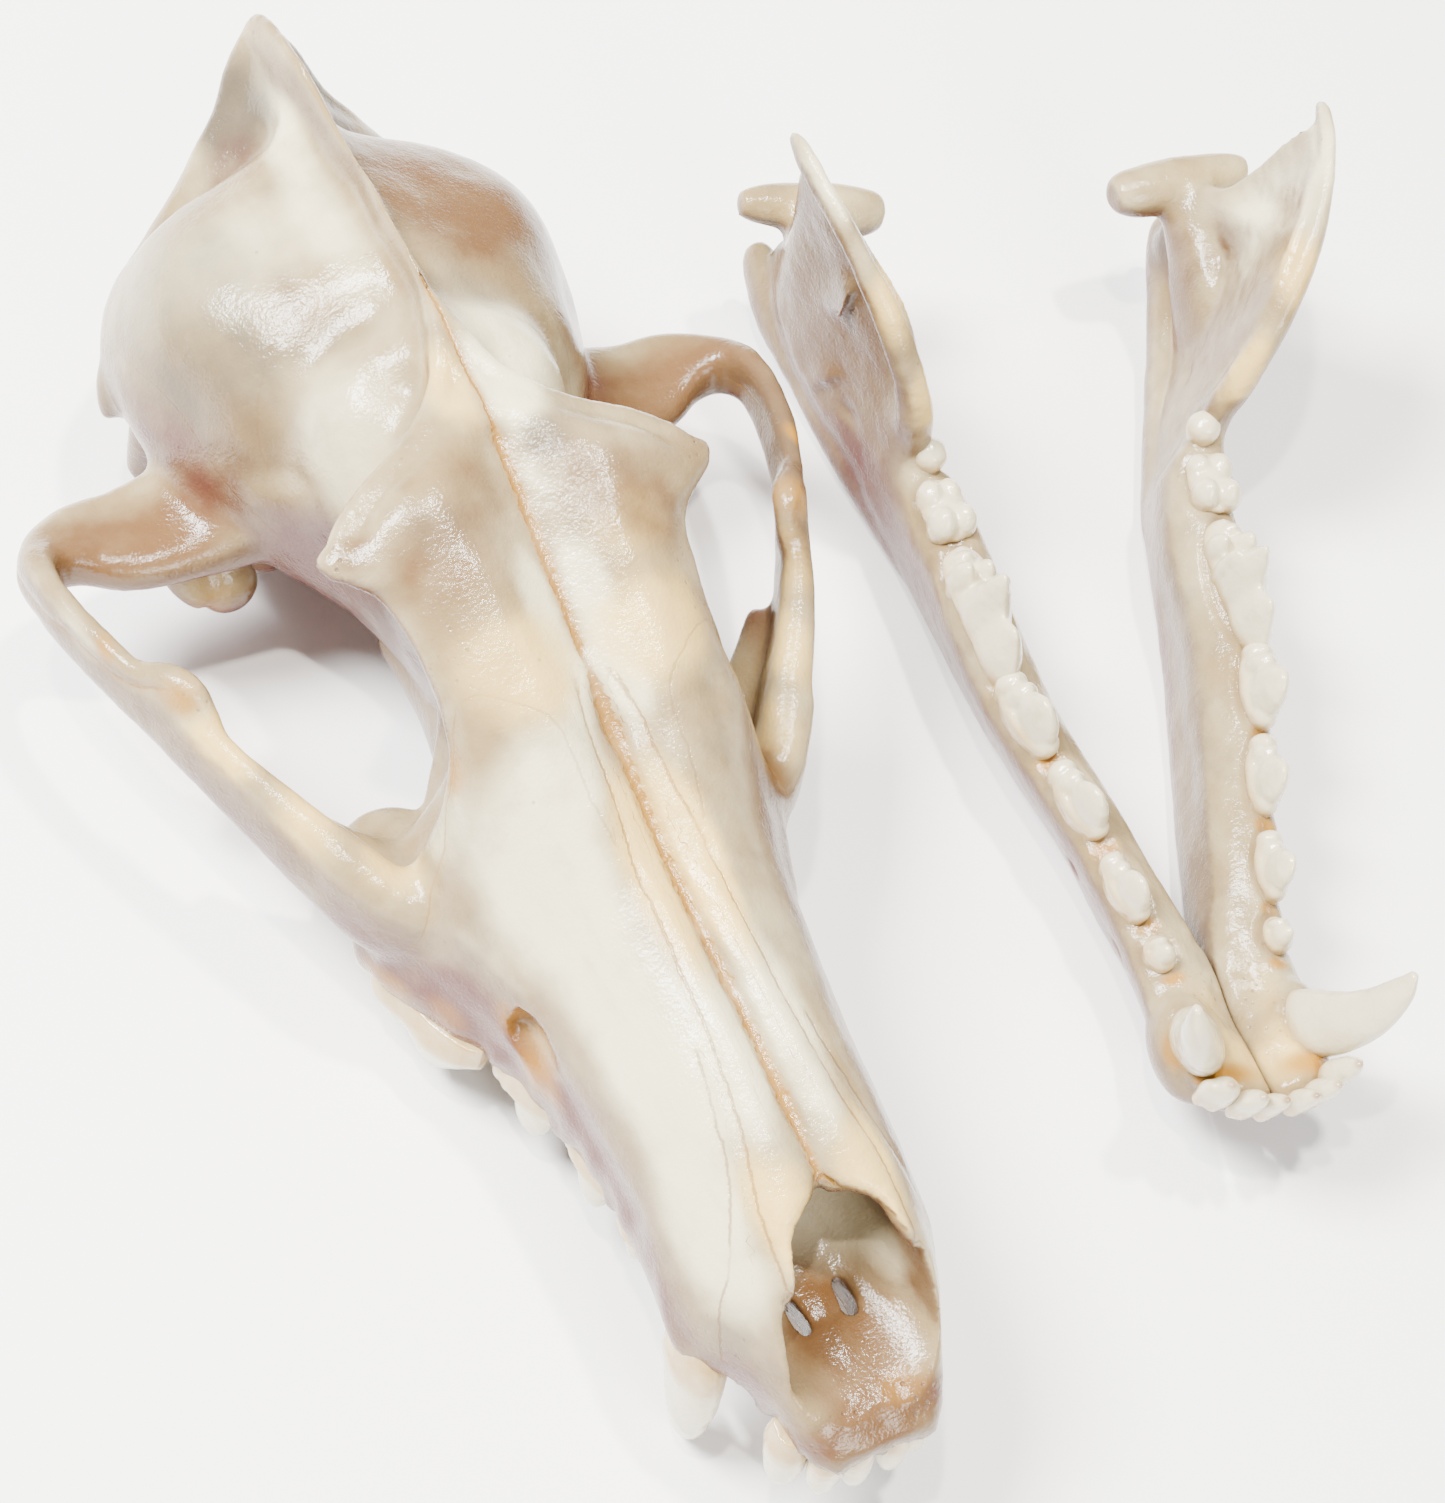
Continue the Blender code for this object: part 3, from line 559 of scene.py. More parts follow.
    def finish(self, name: str, placement: Matrix, node: str, slot: str,
               material: bpy.types.Material) -> None:
        """Write the skin as a finished piece.

        Args:
            name: The piece's name.
            placement: Its own frame.
            node: The solid that it stands for.
            slot: The record's material slot; not used.
            material: Its finish.
        """
        self.store(placement)
        self.mesh.name = name
        for key, numbers in self.values.items():
            layer = self.mesh.attributes.new(key, "FLOAT", "POINT")
            layer.data.foreach_set("value", numbers.astype(np.float32))
        own = self.mesh.attributes.new("own", "FLOAT_VECTOR", "POINT")
        own.data.foreach_set("vector", self.points.astype(np.float32).ravel())
        self.mesh.polygons.foreach_set("use_smooth", [True] * len(self.mesh.polygons))
        self.mesh.materials.clear()
        self.mesh.materials.append(material)
        item = bpy.data.objects.new(name, self.mesh)
        bpy.context.scene.collection.objects.link(item)
        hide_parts(node)
        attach(item, "root")
        log.info("%s: %d triangles", name, len(self.triangles))


def operator(operation: str, swapped: bool = False) -> Callable[..., Wire]:
    """A method of a wire that adds one maths node; swapped is for the other operand on the left."""
    def method(wire: Wire, other: Wire | float = 0.0) -> Wire:
        """The wire and the other operand worked together."""
        return wire.board.maths(operation, *((other, wire) if swapped else (wire, other)))
    return method


@dataclass(frozen=True)
class Wire:
    """A node's output that can be reckoned with; the bar gives the larger of two."""

    board: Board
    socket: bpy.types.NodeSocket

    __add__ = __radd__ = operator("ADD")
    __sub__ = operator("SUBTRACT")
    __rsub__ = operator("SUBTRACT", swapped=True)
    __mul__ = __rmul__ = operator("MULTIPLY")
    __or__ = operator("MAXIMUM")
    __abs__ = operator("ABSOLUTE")

    def step(self, low: float, high: float) -> Wire:
        """A smooth step from 0 at low to 1 at high."""
        if low > high:
            return 1 - self.step(high, low)
        return self.board.node("ShaderNodeMapRange", {"interpolation_type": "SMOOTHSTEP"},
                               {"Value": self, "From Min": low, "From Max": high})


class Board:
    """The node tree of one finish."""

    def __init__(self, name: str) -> None:
        """Make the material with only its shader and output."""
        self.material = bpy.data.materials.new(name)
        self.material.use_nodes = True
        self.tree = self.material.node_tree
        self.shader = self.tree.nodes["Principled BSDF"]
        self.own = self.node("ShaderNodeAttribute", {"attribute_name": "own"}, output="Vector")

    def node(self, kind: str, settings: dict | None = None, inputs: dict | None = None,
             output: str | int = 0) -> Wire:
        """Add a node.

        Args:
            kind: The node's type.
            settings: Its own settings, set first.
            inputs: Values or wires for its sockets.
            output: The output wanted.

        Returns:
            The output as a wire.
        """
        made = self.tree.nodes.new(kind)
        for name, value in (settings or {}).items():
            setattr(made, name, value)
        for name, value in (inputs or {}).items():
            self.feed(made.inputs[name], value)
        return Wire(self, made.outputs[output])

    def feed(self, socket: bpy.types.NodeSocket, value: object) -> None:
        """Link a wire to a socket or set its value."""
        if isinstance(value, Wire):
            self.tree.links.new(value.socket, socket)
        else:
            socket.default_value = value

    def maths(self, operation: str, first: Wire | float, second: Wire | float = 0.0) -> Wire:
        """A number worked out from two others."""
        return self.node("ShaderNodeMath", {"operation": operation}, {0: first, 1: second})

    def value(self, name: str) -> Wire:
        """A number kept with the piece's points."""
        return self.node("ShaderNodeAttribute", {"attribute_name": name}, output="Fac")

    def noise(self, size: float, detail: float, stretch: Row = (1, 1, 1), shift: float = 0.0) -> Wire:
        """Noise around 0.5 with blotches of a size in millimetres.

        Args:
            size: Size of a blotch.
            detail: Number of finer layers on top.
            stretch: Scale along each axis; below 1 it draws the blotches out.
            shift: Moves to another part of the pattern.

        Returns:
            The noise.
        """
        place = self.node("ShaderNodeMapping", inputs={
            "Vector": self.own, "Location": (shift, shift, shift), "Scale": tuple(stretch)})
        return self.node("ShaderNodeTexNoise", inputs={
            "Vector": place, "Scale": 1.0 / size, "Detail": detail})

    def dots(self, size: float, radius: float) -> Wire:
        """Small round spots, one to each cell of a size in millimetres, 1 in their middle."""
        spots = self.node("ShaderNodeTexVoronoi", inputs={"Vector": self.own, "Scale": 1.0 / size})
        return spots.step(radius, radius * 0.35)

    def blend(self, share: Wire | float, first: object, second: object) -> Wire:
        """A colour between two others."""
        first, second = (value if isinstance(value, Wire) else (*value, 1.0) for value in (first, second))
        return self.node("ShaderNodeMix", {"data_type": "RGBA"},
                         {MIX_SHARE: share, MIX_FIRST: first, MIX_SECOND: second}, MIX_RESULT)

    def bump(self, height: Wire, depth: float) -> Wire:
        """Normals of a fine relief of so many metres."""
        return self.node("ShaderNodeBump", inputs={"Strength": 1.0, "Distance": depth, "Height": height},
                         output="Normal")

    def finish(self, inputs: dict[str, object]) -> bpy.types.Material:
        """Set the shader's sockets and give the material back."""
        for name, value in inputs.items():
            self.feed(self.shader.inputs[name], value)
        return self.material


@dataclass(frozen=True)
class BoneFinish:
    """Cream bone under a thin clear varnish."""

    name: str = "bone"
    cream: tuple = (0.25, 0.18, 0.088)
    pale: tuple = (0.68, 0.62, 0.41)
    ivory: tuple = (0.68, 0.48, 0.17)
    tan: tuple = (0.125, 0.064, 0.026)
    grey: tuple = (0.105, 0.085, 0.058)
    # rose is the colour of painted shade with rosy painted bounce light
    rose: tuple = (0.095, 0.026, 0.022)
    amber: tuple = (0.36, 0.17, 0.015)
    crack: tuple = (0.11, 0.05, 0.014)
    pore: tuple = (0.14, 0.08, 0.05)
    spread: float = 1.4
    relief: float = 0.0002

    def make(self) -> bpy.types.Material:
        """Build the material."""
        board = Board(self.name)
        cloud, patch = board.noise(13, 4), board.noise(4.5, 5, shift=7)
        grain = board.noise(1.4, 4, shift=3)
        streak = board.noise(2.2, 3, (1, 0.25, 1), shift=11)
        uneven = 0.45 + cloud * 0.7 + (patch - 0.5) * 0.7
        colour = board.blend(cloud.step(0.35, 0.7) * 0.3, self.cream, self.pale)
        colour = board.blend(patch.step(0.5, 0.78) * 0.25, colour, self.tan)
        colour = board.blend(board.noise(7, 3, shift=17).step(0.5, 0.72) * 0.3, colour, self.grey)
        # the tints carry stains and also painted light and shade: pale is partly painted highlight, tan
        # and grey partly painted shade, rose painted shade with rosy painted bounce light
        for tint in (Tint.PALE, Tint.IVORY, Tint.TAN, Tint.GREY, Tint.ROSE, Tint.AMBER):
            share = board.value(tint.value) * uneven * self.spread
            colour = board.blend(share.step(0.02, 1.0), colour, getattr(self, tint.value))
        colour = board.blend((streak - 0.5).step(0.0, 0.25) * 0.10, colour, self.tan)
        # painted shade: the hollows turn unevenly darker tan
        colour = board.blend(board.value("hollow") * (0.12 + patch * 0.3), colour, self.tan)

        wobble = (board.noise(1.9, 3, shift=5) - 0.5) * 0.6 + (board.noise(0.7, 2, shift=9) - 0.5) * 0.4
        offset = abs(board.value("seam_offset") + wobble)
        near, amber = board.value("seam_near"), board.value("seam_amber")
        broken = board.noise(6, 2, shift=21).step(0.3, 0.5)
        line = offset.step(0.26, 0.06) * near * (0.35 + broken * 0.45)
        halo = offset.step(0.75, 0.1) * near * amber
        colour = board.blend(halo * (0.4 + patch), colour, self.amber)
        colour = board.blend(line, colour, board.blend(amber, self.crack, self.amber))
        colour = board.blend(board.value("socket") * (0.05 + patch * 0.35), colour, self.tan)

        spots = board.dots(1.15, 0.30) * board.noise(3, 2, shift=31).step(0.42, 0.6)
        pores = spots * board.value(Tint.PORES.value)
        stray = board.dots(6.5, 0.055) * 0.6
        colour = board.blend((pores | stray) * 0.8, colour, self.pore)

        relief = (grain * 0.4 + board.noise(0.5, 3, shift=13) * 0.45 + streak * 0.05 + patch * 0.15
                  - pores * 0.9 - line * 0.7)
        return board.finish({
            "Base Color": colour, "Roughness": 0.09 + grain * 0.14,
            "Normal": board.bump(relief, self.relief), "Subsurface Weight": 0.1,
            "Subsurface Scale": 0.003, "Subsurface Radius": (1.0, 0.6, 0.35), "IOR": 1.42})


@dataclass(frozen=True)
class EnamelFinish:
    """White tooth enamel, yellower at the neck and worn brown at some tips."""

    name: str = "enamel"
    white: tuple = (0.60, 0.54, 0.38)
    yellow: tuple = (0.42, 0.27, 0.09)
    brown: tuple = (0.20, 0.08, 0.02)
    relief: float = 0.00022

    def make(self) -> bpy.types.Material:
        """Build the material."""
        board = Board(self.name)
        mottle, fine = board.noise(3.2, 4), board.noise(0.8, 3, shift=4)
        colour = board.blend(board.value("neck") * (0.3 + mottle * 0.9), self.white, self.yellow)
        colour = board.blend(mottle.step(0.5, 0.8) * 0.22, colour, self.yellow)
        colour = board.blend(board.value("hollow") * 0.55, colour, self.yellow)
        colour = board.blend(board.value("worn"), colour, self.brown)
        relief = fine * 0.4 + mottle * 0.6
        return board.finish({
            "Base Color": colour, "Roughness": 0.14 + fine * 0.12,
            "Normal": board.bump(relief, self.relief), "Subsurface Weight": 0.15,
            "Subsurface Scale": 0.002, "Subsurface Radius": (1.0, 0.8, 0.6), "Coat Weight": 0.2,
            "Coat Roughness": 0.08, "IOR": 1.6})


@dataclass(frozen=True)
class Cusp:
    """A point of a tooth: its place along and across the crown, height, half length, half width, lean."""

    along: float
    across: float
    height: float
    half_length: float
    half_width: float
    lean_along: float = 0.0
    lean_across: float = 0.0


def cusps(text: str) -> tuple[Cusp, ...]:
    """Cusps from rows of their values, the lean left out where there is none."""
    return tuple(Cusp(*(float(number) for number in row.split())) for row in text.split(","))


@dataclass(frozen=True)
class Tooth:
    """A tooth of the left side.

    Its ridge is a crown drawn as a table of sections: share of the length, half width and height.
    """

    name: str
    place: tuple
    turn: float
    length: float
    width: float
    ridge: str = ""
    cusps: tuple = ()
    root: float = 3.0
    worn: float = 0.0

    def axes(self) -> tuple[np.ndarray, np.ndarray]:
        """Unit vectors along and across the tooth."""
        angle = math.radians(self.turn)
        return (np.array([math.sin(angle), math.cos(angle), 0.0]),
                np.array([math.cos(angle), -math.sin(angle), 0.0]))

    def ellipse(self, points: np.ndarray) -> np.ndarray:
        """How far out points lie: 1 on the outline of the neck."""
        along, across = self.axes()
        offset = points - np.array(self.place)
        return np.hypot(offset @ along / (self.length / 2), offset @ across / (self.width / 2))

    def draw(self, side: Side, up: int) -> bpy.types.Mesh:
        """Draw it as overlapping bodies.

        Args:
            side: The side it is on.
            up: 1 where the crown points up, -1 where it points down.

        Returns:
            The bodies.
        """
        bm = bmesh.new()
        along, across = self.axes()
        rise = np.array([0.0, 0.0, float(up)])
        flip = np.array([side.value, 1.0, 1.0])
        if self.ridge:
            outline = [(0.62, -self.root), (0.82, -1.2), (0.94, 0.0)]
            heights = (0.12, 0.28, 0.45, 0.62, 0.78, 0.9, 0.97)
            rings = []
            for share, half, height in smooth_curve(table(self.ridge), 7):
                half, height = max(half, 0.35), max(height, 0.3)
                profile = [(half * wide, level) for wide, level in outline]
                profile += [(half * (1 - part ** 1.55) ** 0.8, height * part) for part in heights]
                full = profile + [(0.0, height)] + [(-wide, level) for wide, level in profile[::-1]]
                middle = np.array(self.place) + along * share * self.length
                rings.append([(middle + across * wide + rise * level) * flip for wide, level in full])
            add_loft(bm, np.array(rings))
        levels = ((-self.root, 0.7, 0.0), *table(
            "-0.6 0.92 0, 0 0.98 0, 0.2 1 0.08, 0.42 0.95 0.3, 0.65 0.8 0.58, 0.85 0.52 0.85, 1 0.2 1"))
        turns = 2 * math.pi * np.arange(24) / 24
        base = ()
        if not self.ridge and len(self.cusps) > 2:
            lowest = min(cusp.height for cusp in self.cusps)
            base = (Cusp(0, 0, lowest * 0.8, self.length * 0.5, self.width * 0.5),)
        for cusp in (*self.cusps, *base):
            rings = []
            for level, width, lean in levels:
                centre = (np.array(self.place) + along * (cusp.along + cusp.lean_along * lean)
                          + across * (cusp.across + cusp.lean_across * lean)
                          + rise * (level * cusp.height if level > 0 else level))
                rings.append((centre + np.outer(np.cos(turns), along) * cusp.half_length * width
                              + np.outer(np.sin(turns), across) * cusp.half_width * width) * flip)
            add_loft(bm, np.array(rings))
        return as_mesh(bm, self.name)


def premolar(name: str, place: tuple, turn: float, length: float, width: float, height: float,
             heels: str) -> Tooth:
    """A tooth with one main point and low heels.

    Args:
        name: Its name.
        place: Centre of its neck.
        turn: Turn of its row in degrees.
        length: Length of the crown.
        width: Width of the crown.
        height: Height of the main point.
        heels: Table of places along the crown and heights behind the main point, as shares.

    Returns:
        The tooth.
    """
    half = width / 2
    points = [Cusp(-0.12 * length, 0.0, height, 0.31 * length, 0.7 * half, -0.04 * length, 0.1 * width),
              Cusp(-0.36 * length, 0.0, 0.34 * height, 0.14 * length, 0.62 * half)]
    points += [Cusp(share * length, 0.0, height * part, 0.15 * length, 0.78 * half)
               for share, part in table(heels)]
    return Tooth(name, place, turn, length, width, "", tuple(points))


UPPER_TEETH = (
    Tooth("incisor_1", (2.5, 1.4, 1.2), 90, 4, 3.6, "", cusps("0 0 7 2.05 1.8 0 0.8")),
    Tooth("incisor_2", (6.2, 2.4, 1.2), 70, 4.6, 4, "", cusps("0 0 7.6 2.35 2 0 0.8")),
    Tooth("incisor_3", (9.4, 6.4, 1), 34, 5.8, 5, "",
          cusps("0 0 9.2 2.9 2.5 -0.8 0.8, 1.8 -0.6 4.6 1.6 1.7")),
    premolar("premolar_1", (13.4, 38.6, 0.6), 2, 6.4, 4.2, 5.4, "0.3 0.4"),
    premolar("premolar_2", (14.1, 49.2, 0.4), 4, 10.8, 4.8, 8.4, "0.22 0.5, 0.36 0.36"),
    premolar("premolar_3", (17, 61.6, 0.4), 16, 12, 5.2, 8.8, "0.22 0.55, 0.36 0.4"),
    Tooth("premolar_4", (24.4, 75.6, 0.4), 22, 18.8, 7.4,
          "-0.5 1.2 1.8, -0.4 2.6 3.6, -0.26 3.4 7.6, -0.1 3.6 10.4, 0.02 3.2 8.8, 0.12 2.8 6, "
          "0.22 2.7 7.3, 0.36 2.5 6.6, 0.46 1.8 3.8, 0.5 1 2",
          cusps("-6 -2.6 3.8 2.6 2.6")),
    Tooth("molar_1", (22.6, 89.4, 0.6), -8, 11.4, 13.4, "",
          cusps("-2.5 3.4 5.2 3.3 3.2, 2.6 3.2 4.6 3.1 3.1, -0.2 -0.6 2.6 4.6 4.6, "
                "-0.8 -3 3.6 2.8 2.4, 0.8 -5 2.4 3.4 2.2"), 2.4),
    Tooth("molar_2", (21.2, 98.4, 2.2), -8, 6.2, 9.2, "",
          cusps("-1.2 2.4 3.6 2 2.2, 1.2 2 3 1.7 2, 0 -1.4 2.2 2.9 3.2"), 2.4),
)
LOWER_TEETH = (
    Tooth("incisor_1", (2.15, -2, 20.7), 90, 3.2, 2.9, "", cusps("0 0 6.3 1.75 1.5 0 1.4"), worn=0.8),
    Tooth("incisor_2", (5.2, -1.2, 20.7), 78, 3.6, 3.2, "",
          cusps("-0.2 0 6.7 1.85 1.65 0.1 1.4, 1.2 0.1 4.6 1.1 1.25 0.1 1.1"), worn=0.5),
    Tooth("incisor_3", (8.5, 0.9, 20.5), 58, 4, 3.7, "",
          cusps("-0.2 0 7 2.05 1.9 0.2 1.4, 1.5 0.2 4.8 1.3 1.45 0.2 1.1"), worn=0.6),
    premolar("premolar_1", (8.8, 22.4, 18.1), 8, 5.4, 4.4, 3.8, "0.2 0.7"),
    premolar("premolar_2", (11, 32, 18.7), 12, 10.4, 5, 6.4, "0.2 0.5, 0.37 0.4"),
    premolar("premolar_3", (14, 45.2, 19.5), 16, 12.2, 5.5, 7, "0.2 0.56, 0.37 0.42"),
    premolar("premolar_4", (17.8, 58.6, 20.1), 14, 13.4, 6.3, 8, "0.18 0.62, 0.36 0.44"),
    Tooth("molar_1", (19.8, 74.6, 20.5), 3, 21.6, 8.2,
          "-0.5 1.4 3, -0.42 2.4 6, -0.33 2.9 8.3, -0.24 3 7.4, -0.16 3 6.6, -0.08 3.3 9.4, 0 3.5 11.5, "
          "0.07 3.5 9.2, 0.14 3.5 5, 0.2 3.6 3, 0.34 3.6 2.8, 0.44 3 2.6, 0.5 1.8 1.8",
          cusps("1.8 -2 7.4 1.9 1.7, 5.4 1.7 5.6 2.4 1.9, 5.8 -1.9 4.8 2.2 1.7, 8.3 0.4 3.6 1.7 2")),
    Tooth("molar_2", (20.8, 91.6, 21.4), 4, 10.4, 7.2, "",
          cusps("-2.5 1.6 3.9 2.5 2.1, -2.3 -1.7 3.7 2.4 2, 2.3 1.6 3.1 2.5 2, "
                "2.5 -1.4 2.7 2.3 1.9, 0 0 2.4 4.7 3.3"), 2.4),
    Tooth("molar_3", (21.5, 99.8, 23.2), 6, 5.2, 5, "", cusps("0 0 3.2 2.6 2.5"), 2.4),
)
UPPER_CANINE = (
    "14.2 22.5 5 2.8 4.2, 14.5 20.8 1 3.3 5.3, 14.7 19.4 -4.5 3.1 4.6, 14.7 18.6 -10 2.6 3.6, "
    "14.3 18.6 -15 1.8 2.5, 13.9 19.2 -19 0.6 0.8"
)
LOWER_CANINE = (
    "7.8 11.5 15 2.8 4, 8.4 9 19.1 3.2 4.7, 10.4 6.6 24.5 3 4.1, 12.8 5.8 29.5 2.4 3.2, "
    "14.6 6.2 33.9 1.6 2.1, 15.6 7.2 37.3 0.5 0.7"
)


@dataclass
class ToothRow:
    """The teeth of one side of one jaw."""

    jaw: str
    teeth: tuple
    canine: str
    up: int
    voxel: float = 0.28
    swell: float = 0.3
    seed: int = 40
    # heights above the neck where its yellow ends and is full, and the length of the worn tip
    neck: tuple = (2.4, -0.3)
    tip: float = 0.9

    def canine_neck(self) -> Tooth:
        """The canine's neck as a plain tooth, for the rim of its socket."""
        x, y, z, half_width, half_length = table(self.canine)[1]
        return Tooth("canine", (x, y, z), 0, 2 * half_length, 2 * half_width)

    def seat(self, skin: Skin) -> None:
        """Raise the bone round each neck, press a fine gap and keep the rims for the finish."""
        depth, rim_width, swell_at, swell_width, gap_width = 3.0, 0.9, 1.5, 1.1, 0.7
        swell_height, gap_depth = 0.2, 0.25
        rims, swell = np.zeros((2, len(skin.points)))
        for tooth in (*self.teeth, self.canine_neck()):
            mean = (tooth.length + tooth.width) / 4
            gap = (tooth.ellipse(skin.folded) - 1) * mean
            level = np.exp(-((skin.points[:, 2] - tooth.place[2]) / depth) ** 2)
            rims = np.maximum(rims, np.exp(-(np.maximum(gap, 0) / rim_width) ** 2) * level)
            raised = np.exp(-((gap - swell_at) / swell_width) ** 2)
            pressed = np.exp(-(gap / gap_width) ** 2)
            swell += swell_height * raised * level - gap_depth * pressed * level
        skin.push(np.clip(swell, -self.swell, self.swell))
        skin.values["socket"] = rims

    def write(self, tooth: Tooth, mesh: bpy.types.Mesh, side: Side, placement: Matrix,
              finish: bpy.types.Material) -> None:
        """Round off one tooth and write it.

        Args:
            tooth: The tooth.
            mesh: Its overlapping bodies.
            side: The side it is on.
            placement: The frame of its bone.
            finish: Its material.
        """
        skin = Skin.remeshed(mesh, self.voxel, 6)
        skin.roughen("3 0.12, 1.2 0.05", seed=self.seed + len(tooth.name))
        skin.find_hollows()
        height = (skin.points[:, 2] - tooth.place[2]) * self.up
        skin.values["neck"] = fade(height, *self.neck)
        skin.values["worn"] = tooth.worn * fade(height, height.max() - self.tip, height.max())
        node = f"{self.jaw}_{tooth.name}_{side.word}"
        skin.finish(node + "_crown", placement, node, "enamel", finish)

    def build(self, side: Side, placement: Matrix, finish: bpy.types.Material) -> None:
        """Build every tooth of the row.

        Args:
            side: The side it is on.
            placement: The frame of its bone.
            finish: The teeth's material.
        """
        for tooth in self.teeth:
            self.write(tooth, tooth.draw(side, self.up), side, placement, finish)
        canine = limb(self.canine, side, sides=24, fineness=6)
        self.write(self.canine_neck(), canine, side, placement, finish)


